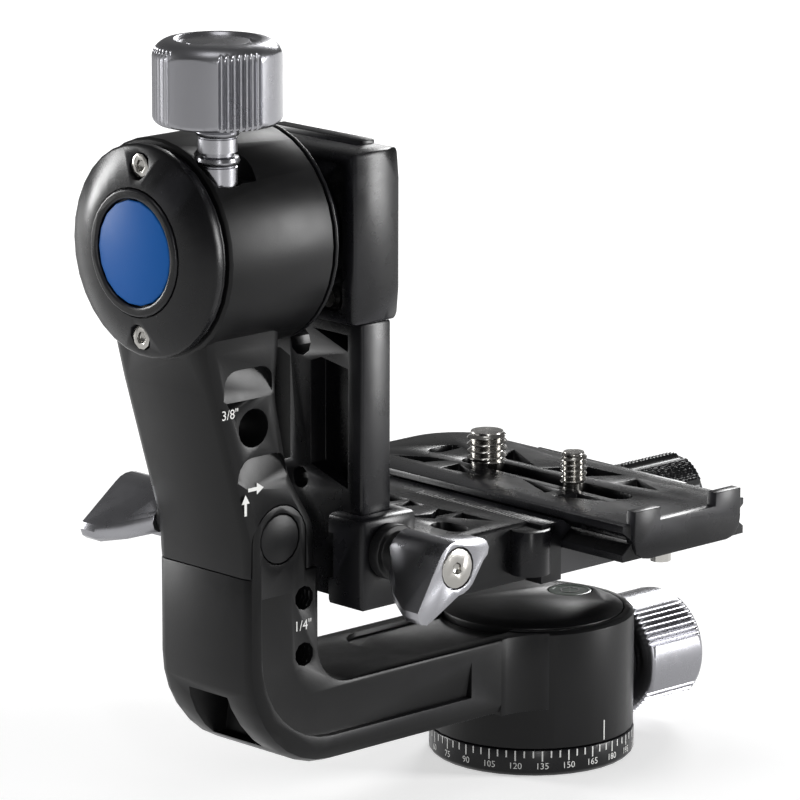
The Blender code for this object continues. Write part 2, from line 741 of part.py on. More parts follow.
def fold_socket():
    """Room for the upper arm's tongue between the ears and in the top of the lower arm."""
    half = TONGUE_RADIUS + FIT_GAP
    width = TONGUE_WIDTH / 2 + FIT_GAP
    low = PIN_Z - LIFT_TRAVEL
    round_end = arc_points(PIN_X, low, half, 180, 360, 2 * FILLET_STEPS)
    top = SEAM_HEIGHT + CUT_OVERRUN
    outline = round_end + [(PIN_X + half, top), (PIN_X - half, top)]
    socket = form("fold_socket", outline, "Y", -width, width)
    above = box_outline(ARM_OUTER_X - CUT_OVERRUN, ARM_INNER_X + CUT_OVERRUN, SEAM_HEIGHT,
                        PIN_Z + 2 * EAR_RADIUS)
    return socket, form("fold_fork_gap", above, "Y", -width, width)


def lower_arm():
    half = ARM_WIDTH / 2
    low = DIAL_HEIGHT + SEAT_GAP
    profile = [(0, low), (HOUSING_RADIUS, low), (HOUSING_RADIUS, HOUSING_TOP - HOUSING_EDGE),
               (HOUSING_RADIUS - HOUSING_EDGE, HOUSING_TOP), (0, HOUSING_TOP)]
    arm = turned("lower_arm", profile, ABOUT_Z, (0, 0, 0), BLACK_SATIN, ROUND_STEPS)
    foot = form("lower_arm_foot", lower_arm_outline(), "Y", -half, half, ARM_INNER_EDGE)
    combine(foot, "INTERSECT", form("lower_arm_roll", lower_arm_roll(), "Y", -half, half, ARM_EDGE))
    cut(foot, form("seam_cut", seam_cut(), "Y", -ARM_WIDTH, ARM_WIDTH))
    boss = bore("pan_lock_boss", PAN_BOSS_RADIUS, ABOUT_X, (0, 0, PAN_LOCK_Z), PAN_DRUM_RADIUS, PAN_BOSS_X)
    join(arm, foot, boss, flare("front_flare", -1), flare("back_flare", 1))
    pin_hole = bore("fold_pin_hole", PIN_RADIUS + FIT_GAP, ABOUT_Y, (PIN_X, 0, PIN_Z), -ARM_WIDTH, ARM_WIDTH)
    cover_seat = bore("pin_cover_seat", PIN_COVER_RADIUS + FIT_GAP, ABOUT_Y, (PIN_X, 0, PIN_Z),
                      -ARM_WIDTH, -half + PIN_COVER_THICKNESS + SEAT_GAP)
    window = [(-BEND_WINDOW_LOW_WIDTH / 2, BEND_WINDOW_LOW), (BEND_WINDOW_LOW_WIDTH / 2, BEND_WINDOW_LOW),
              (BEND_WINDOW_HIGH_WIDTH / 2, BEND_WINDOW_HIGH),
              (-BEND_WINDOW_HIGH_WIDTH / 2, BEND_WINDOW_HIGH)]
    window_tool = form("bend_window", window, "X", ARM_OUTER_X - CUT_OVERRUN,
                       ARM_OUTER_X + BEND_WINDOW_DEPTH)
    scoop = box_outline(TOP_SCOOP_START_X, TOP_SCOOP_END_X, -TOP_SCOOP_WIDTH / 2, TOP_SCOOP_WIDTH / 2)
    top_scoop = form("top_scoop", filleted(scoop, [TOP_SCOOP_WIDTH / 3, 0, 0, TOP_SCOOP_WIDTH / 3]), "Z",
                     ARM_TOP - TOP_SCOOP_DEPTH, HOUSING_TOP + CUT_OVERRUN)
    cut(arm, pan_cavity(), *fold_socket(), pin_hole, cover_seat, window_tool, top_scoop,
        side_scoop("side_scoop_front", -1), side_scoop("side_scoop_back", 1))
    for index in range(2):
        centre = (SMALL_THREAD_X, 0, SMALL_THREAD_LOW_Z + index * SMALL_THREAD_SPACING)
        cut(arm, bore(f"small_thread_{index}", SMALL_THREAD_RADIUS, ABOUT_Y, centre, -ARM_WIDTH,
                      -half + SMALL_THREAD_DEPTH, SCREW_STEPS))
    cut(arm, pan_lock_bore())


def pan_cap():
    low = HOUSING_TOP - CAP_SEAT_DEPTH + SEAT_GAP
    high = low + CAP_HEIGHT
    profile = [(0, low), (CAP_RADIUS, low), (CAP_RADIUS, low + CAP_RIM_HEIGHT), (CAP_TOP_RADIUS, high),
               (0, high)]
    cap = turned("pan_cap", profile, ABOUT_Z, (0, 0, 0), BLACK_SATIN, ROUND_STEPS)
    centre = (LEVEL_OFFSET, 0, 0)
    floor = high - LEVEL_DEPTH
    cut(cap, bore("level_seat", LEVEL_RADIUS + FIT_GAP, ABOUT_Z, centre, floor - SEAT_GAP,
                  high + CUT_OVERRUN))
    turned("bubble_level", rod_profile(LEVEL_RADIUS, floor, high), ABOUT_Z, centre, LEVEL_GREEN)


# Lock knobs: plain faces between fluted ones

def knob_section():
    """Radius and angle of each point round the knob."""
    section = []
    side = 2 * pi / KNOB_SIDES
    plain = side * KNOB_PLAIN_SHARE
    flute = (side - plain) / (2 * FLUTES_PER_SIDE)
    for index in range(KNOB_SIDES):
        start = index * side - plain / 2
        section += [(KNOB_RADIUS, start + plain * step / FILLET_STEPS) for step in range(FILLET_STEPS)]
        for step in range(2 * FLUTES_PER_SIDE):
            depth = FLUTE_DEPTH if step % 2 else 0
            section.append((KNOB_RADIUS - depth, start + plain + step * flute))
    return section


def knob_body(name, section, length, chamfer, turn, centre):
    """Loft a section of (radius, angle) points between two chamfered ends."""
    mesh_edit = bmesh.new()
    end_share = 1 - chamfer / max(radius for radius, _ in section)
    rings = []
    for height, share in ((0, end_share), (chamfer, 1), (length - chamfer, 1), (length, end_share)):
        rings.append([mesh_edit.verts.new((radius * share * cos(angle), radius * share * sin(angle), height))
                      for radius, angle in section])
    for low, high in zip(rings, rings[1:]):
        for index in range(len(low)):
            following = (index + 1) % len(low)
            mesh_edit.faces.new((low[index], low[following], high[following], high[index]))
    mesh_edit.faces.new(rings[0])
    mesh_edit.faces.new(rings[-1])
    bmesh.ops.transform(mesh_edit, matrix=Matrix.Translation(centre) @ turn, verts=mesh_edit.verts)
    return make_object(name, mesh_edit, centre, SILVER)


def lock_knob(name, length, turn, centre, screw_depth):
    """A knob body, bored for its screw and dished in its outer face."""
    knob = knob_body(name, knob_section(), length, KNOB_CHAMFER, turn, centre)
    screw_bore = bore(name + "_bore", LOCK_SCREW_RADIUS + FIT_GAP, turn, centre, -CUT_OVERRUN, screw_depth)
    dish = bore(name + "_dish", KNOB_DISH_RADIUS, turn, centre, length - KNOB_DISH_DEPTH,
                length + CUT_OVERRUN)
    cut(knob, screw_bore, dish)


def pan_lock():
    centre = (0, 0, PAN_LOCK_Z)
    shoe = PAN_DRUM_RADIUS + FIT_GAP
    shoe_end = shoe + PAN_SHOE_LENGTH
    brake = turned("pan_brake_shoe", rod_profile(PAN_SHOE_RADIUS, 0, shoe_end), ABOUT_X, centre, BRASS)
    cut(brake, bore("pan_shoe_face", shoe, ABOUT_Z, (0, 0, 0), 0, HOUSING_TOP, ROUND_STEPS))
    collar = PAN_BOSS_X + SEAT_GAP
    turned("pan_knob_collar", ring_profile(LOCK_SCREW_RADIUS + FIT_GAP, PAN_COLLAR_RADIUS, collar,
                                           collar + PAN_COLLAR_THICKNESS), ABOUT_X, centre, NYLON)
    knob = collar + PAN_COLLAR_THICKNESS + SEAT_GAP
    depth = PAN_KNOB_LENGTH / 2
    screw = shoe_end + PAN_SHOE_TRAVEL + SEAT_GAP
    turned("pan_lock_screw", rod_profile(LOCK_SCREW_RADIUS, screw, knob + depth - SEAT_GAP), ABOUT_X,
           centre, STEEL)
    lock_knob("pan_lock_knob", PAN_KNOB_LENGTH, ABOUT_X, (knob, 0, PAN_LOCK_Z), depth)


# Wing knobs of the fold joint and of the carriage

def wing_outline(centre_x, centre_z, long_degrees, short_degrees, hub, tip, reach_share):
    """Round hub with a long and a short wing; the outline runs round the tips and dips in at the hub."""
    outline = []
    for heading, other, reach in ((short_degrees, long_degrees, WING_SHORT),
                                  (long_degrees, short_degrees, WING_LONG)):
        angle = radians(heading)
        tip_x = centre_x + reach * reach_share * cos(angle)
        tip_z = centre_z + reach * reach_share * sin(angle)
        outline += arc_points(tip_x, tip_z, tip, heading - 90, heading + 90, FILLET_STEPS + 1)
        gap = (other - heading) % 360
        outline += arc_points(centre_x, centre_z, hub, heading + gap / 2 - 30, heading + gap / 2 + 30,
                              FILLET_STEPS)
    return outline


def wing_knob(name, centre_x, centre_z, start, side, long_degrees, short_degrees):
    """Cast wing knob on a Y axis with its hub screw; start is its inner end and side the way it points."""
    end = start + side * WING_LENGTH
    centre = (centre_x, 0, centre_z)
    mesh_edit = bmesh.new()
    rings = []
    for share, reach_share in WING_SECTION_SHARES:
        outline = wing_outline(centre_x, centre_z, long_degrees, short_degrees, WING_HUB_RADIUS,
                               WING_TIP_RADIUS, reach_share)
        rings.append([mesh_edit.verts.new((x, start + side * WING_LENGTH * share, z)) for x, z in outline])
    for low, high in zip(rings, rings[1:]):
        for index in range(len(low)):
            following = (index + 1) % len(low)
            mesh_edit.faces.new((low[index], low[following], high[following], high[index]))
    mesh_edit.faces.new(rings[0])
    mesh_edit.faces.new(rings[-1])
    knob = make_object(name, mesh_edit, centre, SILVER)
    low, high = sorted((start - side * CUT_OVERRUN, start + side * WING_SCREW_REACH))
    screw_bore = bore(name + "_bore", LOCK_SCREW_RADIUS + FIT_GAP, ABOUT_Y, centre, low, high)
    low, high = sorted((end - side * (HUB_DISC_THICKNESS + SEAT_GAP), end + side * CUT_OVERRUN))
    disc_seat = bore(name + "_disc_seat", HUB_DISC_RADIUS + FIT_GAP, ABOUT_Y, centre, low, high)
    cut(knob, screw_bore, disc_seat)
    low, high = sorted((end - side * HUB_DISC_THICKNESS, end))
    disc = turned(name + "_hub_screw", rod_profile(HUB_DISC_RADIUS, low, high), ABOUT_Y, centre, STEEL)
    low, high = sorted((end - side * HEX_SOCKET_DEPTH, end + side * CUT_OVERRUN))
    cut(disc, bore(name + "_socket", HEX_SOCKET_RADIUS, ABOUT_Y, centre, low, high, 6))


def fold_joint():
    half = ARM_WIDTH / 2
    centre = (PIN_X, 0, PIN_Z)
    turned("fold_pin_cover", rod_profile(PIN_COVER_RADIUS, -half, -half + PIN_COVER_THICKNESS), ABOUT_Y,
           centre, BLACK_SATIN)
    collar = half + SEAT_GAP
    knob = collar + FOLD_COLLAR_LENGTH + SEAT_GAP
    turned("fold_collar", ring_profile(PIN_RADIUS + FIT_GAP, FOLD_COLLAR_RADIUS, collar,
                                       collar + FOLD_COLLAR_LENGTH), ABOUT_Y, centre, NYLON)
    start = -half + PIN_COVER_THICKNESS + 2 * SEAT_GAP
    turned("fold_pin", rod_profile(PIN_RADIUS, start, knob + WING_SCREW_REACH - SEAT_GAP), ABOUT_Y,
           centre, STEEL)
    wing_knob("fold_wing_knob", PIN_X, PIN_Z, knob, 1, FOLD_WING_DEGREES,
              FOLD_WING_DEGREES + WING_SHORT_DEGREES - WING_LONG_DEGREES)


# Upper arm: one casting of the leaning upright and the tilt barrel

def upper_arm_outline():
    """Side view; it starts below the seam, where a cut makes its flat foot, and ends inside the barrel."""
    under = SEAM_HEIGHT - 2 * ARM_EDGE
    hip = REAR_STRIP_HEIGHT + HIP_RISE
    waist = hip + WAIST_RISE
    corners = [(ARM_OUTER_X, under), (ARM_INNER_X, under), (ARM_INNER_X, REAR_STRIP_HEIGHT),
               (HIP_REAR_X, hip), (WAIST_REAR_X, waist),
               (BARREL_NECK_REAR_X, BARREL_NECK_HEIGHT), (BARREL_NECK_REAR_X, TILT_Z),
               (BARREL_NECK_FRONT_X, TILT_Z), (BARREL_NECK_FRONT_X, BARREL_NECK_HEIGHT),
               (NECK_FRONT_X, NECK_HEIGHT), (KNEE_FRONT_X, KNEE_HEIGHT), (ARM_OUTER_X, SEAM_HEIGHT)]
    soft = 4 * ARM_EDGE
    return filleted(corners, [0, 0, soft, 2 * soft, 2 * soft, 0, 0, 0, 0, 2 * soft, 0, 0])


def tongue_outline():
    low = PIN_Z - LIFT_TRAVEL
    top = PIN_Z + 2 * EAR_RADIUS
    round_end = arc_points(PIN_X, low, TONGUE_RADIUS, 180, 360, 2 * FILLET_STEPS)
    return round_end + [(PIN_X + TONGUE_RADIUS, top), (PIN_X - TONGUE_RADIUS, top)]


def barrel_bore():
    """Close round the shaft in front and wider for the bearings behind."""
    bearings = 2 * TILT_BEARING_LENGTH + TILT_SPACER_LENGTH + 3 * SEAT_GAP
    step = BARREL_REAR_X - TILT_BEARING_INSET - bearings
    narrow = TILT_SHAFT_RADIUS + FIT_GAP
    wide = TILT_BEARING_RADIUS + FIT_GAP
    front = BARREL_FRONT_X - CUT_OVERRUN
    rear = BARREL_REAR_X + CUT_OVERRUN
    profile = [(0, front), (narrow, front), (narrow, step), (wide, step), (wide, rear), (0, rear)]
    return turned("barrel_bore", profile, ABOUT_X, (0, 0, TILT_Z), None, ROUND_STEPS)


def finger_dish(name, centre_x, top):
    """Slanting dish in the arm's side: deep under its arched top edge, running out to nothing below."""
    face = -ARM_WIDTH / 2
    low = top - DISH_HEIGHT
    half = DISH_WIDTH / 2
    outline = filleted(box_outline(centre_x - half, centre_x + half, low - DISH_DEPTH, top),
                       [0, 0, DISH_CORNER, DISH_CORNER])
    mesh_edit = prism_mesh(outline, "Y", face - DISH_DEPTH, face + DISH_DEPTH)
    for corner in mesh_edit.verts:
        if corner.co.y > face:
            corner.co.y = face + DISH_DEPTH * (corner.co.z - low) / DISH_HEIGHT
    return make_object(name, mesh_edit, (0, 0, 0), None)


def upper_arm():
    half = ARM_WIDTH / 2
    profile = [(0, BARREL_FRONT_X), (BARREL_RADIUS - BARREL_EDGE, BARREL_FRONT_X),
               (BARREL_RADIUS, BARREL_FRONT_X + BARREL_EDGE), (BARREL_RADIUS, BARREL_REAR_X - BARREL_EDGE),
               (BARREL_RADIUS - BARREL_EDGE, BARREL_REAR_X), (0, BARREL_REAR_X)]
    arm = turned("upper_arm", profile, ABOUT_X, (0, 0, TILT_Z), BLACK_SATIN, ROUND_STEPS)
    upright = form("upper_arm_upright", upper_arm_outline(), "Y", -half, half, ARM_EDGE)
    foot = SEAM_HEIGHT + SEAT_GAP
    below_seam = box_outline(2 * ARM_OUTER_X, 0, 0, foot)
    inside = TONGUE_WIDTH / 2
    cut(upright, form("upper_seam_cut", below_seam, "Y", -ARM_WIDTH, ARM_WIDTH),
        form("front_ear_gap", ear_arch(FIT_GAP, SEAM_HEIGHT - CUT_OVERRUN), "Y", -ARM_WIDTH, -inside),
        form("back_ear_gap", ear_arch(FIT_GAP, SEAM_HEIGHT - CUT_OVERRUN), "Y", inside, ARM_WIDTH))
    join(arm, upright, form("fold_tongue", tongue_outline(), "Y", -inside, inside))
    room = PIN_RADIUS + FIT_GAP
    pin_slot = form("pin_slot", slot_outline(PIN_X, PIN_Z - LIFT_TRAVEL - room, PIN_Z + room, room), "Y",
                    -ARM_WIDTH, ARM_WIDTH)
    big_thread = bore("big_thread", BIG_THREAD_RADIUS, ABOUT_Y, (BIG_THREAD_X, 0, BIG_THREAD_Z),
                      -ARM_WIDTH, ARM_WIDTH)
    narrow = STEM_RADIUS + FIT_GAP
    wide = STEM_BAND_RADIUS + FIT_GAP
    floor = TILT_Z - COTTER_LENGTH / 2 - SEAT_GAP
    stem_profile = [(0, floor), (narrow, floor), (narrow, STEM_SHOULDER_Z), (wide, STEM_SHOULDER_Z),
                    (wide, TILT_KNOB_LOW), (0, TILT_KNOB_LOW)]
    stem_bore = turned("stem_bore", stem_profile, ABOUT_Z, (TILT_LOCK_X, TILT_LOCK_Y, 0), None)
    lock_scoop = bore("lock_scoop", LOCK_SCOOP_RADIUS, ABOUT_Z, (LOCK_SCOOP_X, LOCK_SCOOP_Y, 0),
                      LOCK_SCOOP_Z, TILT_KNOB_LOW)
    cut(arm, barrel_bore(), pin_slot, big_thread, lock_scoop, stem_bore,
        finger_dish("upper_dish", UPPER_DISH_X, UPPER_DISH_TOP),
        finger_dish("lower_dish", LOWER_DISH_X, LOWER_DISH_TOP))
    for name, side in (("upper", 1), ("lower", -1)):
        centre = (0, 0, TILT_Z + side * CAP_SCREW_OFFSET)
        cut(arm, bore(f"cap_thread_{name}", CAP_SCREW_SHANK_RADIUS + FIT_GAP, ABOUT_X, centre,
                      BARREL_FRONT_X - CUT_OVERRUN, BARREL_FRONT_X + CAP_SCREW_LENGTH, SCREW_STEPS))


# Front of the barrel: groove ring, cap, screws, badge ring and badge, and the thin ring behind it

def front_levels():
    ring = BARREL_FRONT_X - SEAT_GAP - GROOVE_RING_LENGTH
    cap_back = ring - SEAT_GAP
    rim = cap_back - FRONT_CAP_RIM
    return ring, cap_back, rim, rim - FRONT_CAP_DOME


def cap_face_x(radius):
    """How far forward the coned face of the cap stands at a radius."""
    _, _, rim, face = front_levels()
    flat = BADGE_RING_RADIUS + FIT_GAP
    edge = FRONT_CAP_RADIUS - FRONT_CAP_EDGE
    outer = rim - FRONT_CAP_EDGE
    return outer + (face - outer) * (edge - radius) / (edge - flat)


def front_cap():
    _, cap_back, rim, face = front_levels()
    hollow = face + BADGE_SEAT_DEPTH + FRONT_CAP_FACE_WALL
    flat = BADGE_RING_RADIUS + FIT_GAP
    seat = face + BADGE_SEAT_DEPTH
    edge = FRONT_CAP_RADIUS - FRONT_CAP_EDGE
    profile = [(0, hollow), (0, seat), (flat, seat), (flat, face), (edge, rim - FRONT_CAP_EDGE),
               (FRONT_CAP_RADIUS, rim), (FRONT_CAP_RADIUS, cap_back), (FRONT_CAP_HOLLOW_RADIUS, cap_back),
               (FRONT_CAP_HOLLOW_RADIUS, hollow)]
    cap = turned("tilt_front_cap", profile, ABOUT_X, (0, 0, TILT_Z), BLACK_ANODISED, ROUND_STEPS)
    for name, side in (("upper", 1), ("lower", -1)):
        cap_screw(cap, name, (0, 0, TILT_Z + side * CAP_SCREW_OFFSET))


def cap_screw(cap, name, centre):
    """A countersunk socket screw in a round well, held a little under the face of the cap."""
    _, cap_back, _, face = front_levels()
    head = cap_face_x(CAP_SCREW_OFFSET) + CAP_SCREW_SINK
    neck = head + CAP_SCREW_HEAD_HEIGHT
    well = CAP_SCREW_HEAD_RADIUS + FIT_GAP
    shank = CAP_SCREW_SHANK_RADIUS + FIT_GAP
    front = face - CUT_OVERRUN
    back = cap_back + CUT_OVERRUN
    sink = [(0, front), (well, front), (well, head + SEAT_GAP), (shank, neck + SEAT_GAP), (shank, back),
            (0, back)]
    cut(cap, turned(f"cap_screw_well_{name}", sink, ABOUT_X, centre, None, SCREW_STEPS))
    tip = head + CAP_SCREW_LENGTH
    profile = [(0, head), (CAP_SCREW_HEAD_RADIUS, head), (CAP_SCREW_SHANK_RADIUS, neck),
               (CAP_SCREW_SHANK_RADIUS, tip), (0, tip)]
    screw = turned(f"cap_screw_{name}", profile, ABOUT_X, centre, STEEL, SCREW_STEPS)
    cut(screw, bore(f"cap_screw_socket_{name}", HEX_SOCKET_RADIUS, ABOUT_X, centre, front,
                    head + HEX_SOCKET_DEPTH, 6))


def barrel_rings():
    ring, _, _, _ = front_levels()
    centre = (0, 0, TILT_Z)
    inner = CAP_SCREW_OFFSET + CAP_SCREW_SHANK_RADIUS + FIT_GAP
    turned("barrel_groove_ring", ring_profile(inner, GROOVE_RING_RADIUS, ring, ring + GROOVE_RING_LENGTH),
           ABOUT_X, centre, BLACK_ANODISED, ROUND_STEPS)
    rear = BARREL_REAR_X + SEAT_GAP
    turned("barrel_rear_ring", ring_profile(REAR_RING_RADIUS - REAR_RING_WALL, REAR_RING_RADIUS, rear,
                                            rear + REAR_RING_LENGTH), ABOUT_X, centre, BLACK_ANODISED,
           ROUND_STEPS)


def badge():
    _, _, _, face = front_levels()
    centre = (0, 0, TILT_Z)
    back = face + BADGE_SEAT_DEPTH - SEAT_GAP
    front = face - BADGE_RING_PROUD
    inner = BADGE_RING_RADIUS - BADGE_RING_WALL
    soft = BADGE_RING_PROUD / 2
    profile = [(inner, back), (inner, front + soft), (inner + soft, front),
               (BADGE_RING_RADIUS - soft, front), (BADGE_RING_RADIUS, front + soft),
               (BADGE_RING_RADIUS, back)]
    turned("badge_ring", profile, ABOUT_X, centre, BLACK_ANODISED, ROUND_STEPS)
    turned("badge_disc", rod_profile(inner - FIT_GAP, front + BADGE_RECESS, back), ABOUT_X, centre, BLUE)


# Tilt spindle, its bearings and its lock

def tilt_spindle():
    centre = (0, 0, TILT_Z)
    thread = BARREL_FRONT_X - TILT_THREAD_LENGTH
    hub = BARREL_REAR_X + SEAT_GAP + REAR_RING_LENGTH + SEAT_GAP
    rear = BLOCK_FRONT_X + BLOCK_RECESS_DEPTH - SEAT_GAP
    bolt = HUB_BOLT_RADIUS + FIT_GAP
    bolt_end = rear - HUB_BOLT_LENGTH / 2
    profile = [(0, thread), (TILT_THREAD_RADIUS, thread), (TILT_THREAD_RADIUS, BARREL_FRONT_X),
               (TILT_SHAFT_RADIUS, BARREL_FRONT_X), (TILT_SHAFT_RADIUS, hub),
               (TILT_HUB_RADIUS - HUB_EDGE, hub), (TILT_HUB_RADIUS, hub + HUB_EDGE),
               (TILT_HUB_RADIUS, rear), (bolt, rear), (bolt, bolt_end), (0, bolt_end)]
    turned("tilt_spindle", profile, ABOUT_X, centre, BLACK_ANODISED, ROUND_STEPS)
    nut = BARREL_FRONT_X - SEAT_GAP
    turned("tilt_nut", ring_profile(TILT_THREAD_RADIUS + FIT_GAP, TILT_NUT_RADIUS,
                                    nut - TILT_NUT_THICKNESS, nut), ABOUT_X, centre, STEEL)
    rear = BARREL_REAR_X - TILT_BEARING_INSET
    for name, length in (("tilt_bearing_rear", TILT_BEARING_LENGTH), ("tilt_spacer", TILT_SPACER_LENGTH),
                         ("tilt_bearing_front", TILT_BEARING_LENGTH)):
        turned(name, ring_profile(TILT_SHAFT_RADIUS + FIT_GAP, TILT_BEARING_RADIUS, rear - length, rear),
               ABOUT_X, centre, STEEL)
        rear -= length + SEAT_GAP


def tilt_lock():
    """A cotter that wedges against the spindle's side, and the banded stem and knob that push it down."""
    centre = (TILT_LOCK_X, TILT_LOCK_Y, 0)
    cotter_top = TILT_Z + COTTER_LENGTH / 2
    cotter = turned("tilt_brake_cotter", rod_profile(STEM_RADIUS, TILT_Z - COTTER_LENGTH / 2, cotter_top),
                    ABOUT_Z, centre, BRASS)
    cut(cotter, bore("cotter_flank", TILT_SHAFT_RADIUS + FIT_GAP, ABOUT_X, (0, 0, TILT_Z),
                     TILT_LOCK_X - 2 * STEM_RADIUS, TILT_LOCK_X + 2 * STEM_RADIUS, ROUND_STEPS))
    low = cotter_top + COTTER_TRAVEL + SEAT_GAP
    under = TILT_KNOB_LOW - SEAT_GAP
    top = TILT_KNOB_LOW + TILT_KNOB_LENGTH / 2 - SEAT_GAP
    band = (under - STEM_SHOULDER_Z) / 4
    profile = [(0, low), (STEM_RADIUS, low)]
    for index in range(2):
        foot = STEM_SHOULDER_Z + (2 * index + 1) * band
        profile += [(STEM_RADIUS, foot), (STEM_BAND_RADIUS, foot + band / 4),
                    (STEM_BAND_RADIUS, foot + band / 2), (STEM_NECK_RADIUS, foot + band)]
    profile += [(STEM_NECK_RADIUS, under), (LOCK_SCREW_RADIUS, under), (LOCK_SCREW_RADIUS, top), (0, top)]
    turned("tilt_lock_stem", profile, ABOUT_Z, centre, SILVER)
    lock_knob("tilt_lock_knob", TILT_KNOB_LENGTH, ABOUT_Z, (TILT_LOCK_X, TILT_LOCK_Y, TILT_KNOB_LOW),
              TILT_KNOB_LENGTH / 2)


# Cradle block, bolted to the spindle, and the rail that hangs from it

def cradle_block():
    half = BLOCK_WIDTH / 2
    block = prism("cradle_block", box_outline(BLOCK_FRONT_X, BLOCK_REAR_X, -half, half), "Z", BLOCK_LOW,
                  BLOCK_HIGH, (0, 0, TILT_Z), BLACK_ANODISED, BLOCK_EDGE)
    wall_front = BLOCK_REAR_X - BACK_WALL_THICKNESS
    wall_half = BACK_WALL_WIDTH / 2
    wall = form("block_back_wall", box_outline(wall_front, BLOCK_REAR_X - BLOCK_EDGE / 2, -wall_half,
                                               wall_half), "Z", TILT_Z, BLOCK_HIGH + BACK_WALL_RISE,
                BACK_WALL_RISE / 2)
    join(block, wall)
    slit = box_outline(wall_front - BACK_SLIT_WIDTH, wall_front, -wall_half, half - BLOCK_EDGE)
    recess = box_outline(-BLOCK_RECESS_WIDTH / 2, BLOCK_RECESS_WIDTH / 2, BLOCK_LOW + BLOCK_RECESS_BORDER,
                         BLOCK_HIGH - BLOCK_RECESS_BORDER)
    tongue_half = RAIL_TONGUE_WIDTH / 2 + FIT_GAP
    tongue = box_outline(RAIL_FRONT_X - FIT_GAP, RAIL_FRONT_X + RAIL_TONGUE_THICKNESS + FIT_GAP,
                         -tongue_half, tongue_half)
    floor = BLOCK_FRONT_X + BLOCK_RECESS_DEPTH
    head_floor = BLOCK_REAR_X - HUB_BOLT_SINK - HUB_BOLT_HEAD_HEIGHT
    centre = (0, 0, TILT_Z)
    cut(block, form("block_slit", slit, "Z", BLOCK_HIGH - BACK_SLIT_DEPTH,
                    BLOCK_HIGH + 2 * BACK_WALL_RISE),
        form("block_recess", filleted(recess, [BLOCK_RECESS_BORDER] * 4), "X",
             BLOCK_FRONT_X - CUT_OVERRUN, floor),
        form("tongue_pocket", tongue, "Z", BLOCK_LOW - CUT_OVERRUN,
             BLOCK_LOW + RAIL_TONGUE_HEIGHT + SEAT_GAP),
        bore("hub_bolt_hole", HUB_BOLT_RADIUS + FIT_GAP, ABOUT_X, centre, BLOCK_FRONT_X, BLOCK_REAR_X),
        bore("hub_bolt_well", HUB_BOLT_HEAD_RADIUS + FIT_GAP, ABOUT_X, centre, head_floor - SEAT_GAP,
             BLOCK_REAR_X + CUT_OVERRUN))
    for name, centre in rail_screw_places():
        cut(block, bore(f"rail_screw_hole_{name}", RAIL_SCREW_RADIUS + FIT_GAP, ABOUT_X, centre,
                        BLOCK_FRONT_X, RAIL_FRONT_X, SCREW_STEPS))
    for side in (-1, 1):
        corner = [(BLOCK_REAR_X - SIDE_FACET_LENGTH, side * half),
                  (BLOCK_REAR_X - SIDE_FACET_LENGTH, side * (half + CUT_OVERRUN)),
                  (BLOCK_REAR_X + CUT_OVERRUN, side * (half + CUT_OVERRUN)),
                  (BLOCK_REAR_X + CUT_OVERRUN, side * (half - SIDE_FACET_DEPTH))]
        for end, low, high in (("low", BLOCK_LOW - CUT_OVERRUN, TILT_Z),
                               ("high", TILT_Z, BLOCK_HIGH + CUT_OVERRUN)):
            cut(block, vanishing_chamfer(f"block_chamfer_{end}_{side}", corner, low, high, end == "low"))


def vanishing_chamfer(name, corner, low, high, wide_low):
    """A corner cut that is full at one end and dies out at the other."""
    mesh_edit = prism_mesh(corner, "Z", low, high)
    outside = Vector(corner[2])
    narrow_z = high if wide_low else low
    for point in mesh_edit.verts:
        if abs(point.co.z - narrow_z) < (high - low) / 2:
            place = Vector((point.co.x, point.co.y)).lerp(outside, CHAMFER_FADE_SHARE)
            point.co.x = place.x
            point.co.y = place.y
    return make_object(name, mesh_edit, (0, 0, 0), None)


def rail_screw_places():
    height = BLOCK_LOW + RAIL_TONGUE_HEIGHT / 2
    return [("front", (0, -RAIL_SCREW_SPREAD, height)), ("back", (0, RAIL_SCREW_SPREAD, height))]


def block_screws():
    centre = (0, 0, TILT_Z)
    head_end = BLOCK_REAR_X - HUB_BOLT_SINK
    head = head_end - HUB_BOLT_HEAD_HEIGHT
    hub = BLOCK_FRONT_X + BLOCK_RECESS_DEPTH - SEAT_GAP
    tip = hub - HUB_BOLT_LENGTH / 2 + SEAT_GAP
    profile = [(0, tip), (HUB_BOLT_RADIUS, tip), (HUB_BOLT_RADIUS, head), (HUB_BOLT_HEAD_RADIUS, head),
               (HUB_BOLT_HEAD_RADIUS, head_end), (0, head_end)]
    bolt = turned("hub_bolt", profile, ABOUT_X, centre, STEEL)
    cut(bolt, bore("hub_bolt_socket", HUB_BOLT_RADIUS, ABOUT_X, centre, head_end - HUB_BOLT_HEAD_HEIGHT / 2,
                   head_end + CUT_OVERRUN, 6))
    floor = BLOCK_FRONT_X + BLOCK_RECESS_DEPTH - SEAT_GAP
    head = floor - RAIL_SCREW_HEAD_HEIGHT
    for name, place in rail_screw_places():
        profile = [(0, head), (RAIL_SCREW_HEAD_RADIUS, head), (RAIL_SCREW_HEAD_RADIUS, floor),
                   (RAIL_SCREW_RADIUS, floor), (RAIL_SCREW_RADIUS, floor + RAIL_SCREW_LENGTH),
                   (0, floor + RAIL_SCREW_LENGTH)]
        turned(f"rail_screw_{name}", profile, ABOUT_X, place, STEEL, SCREW_STEPS)


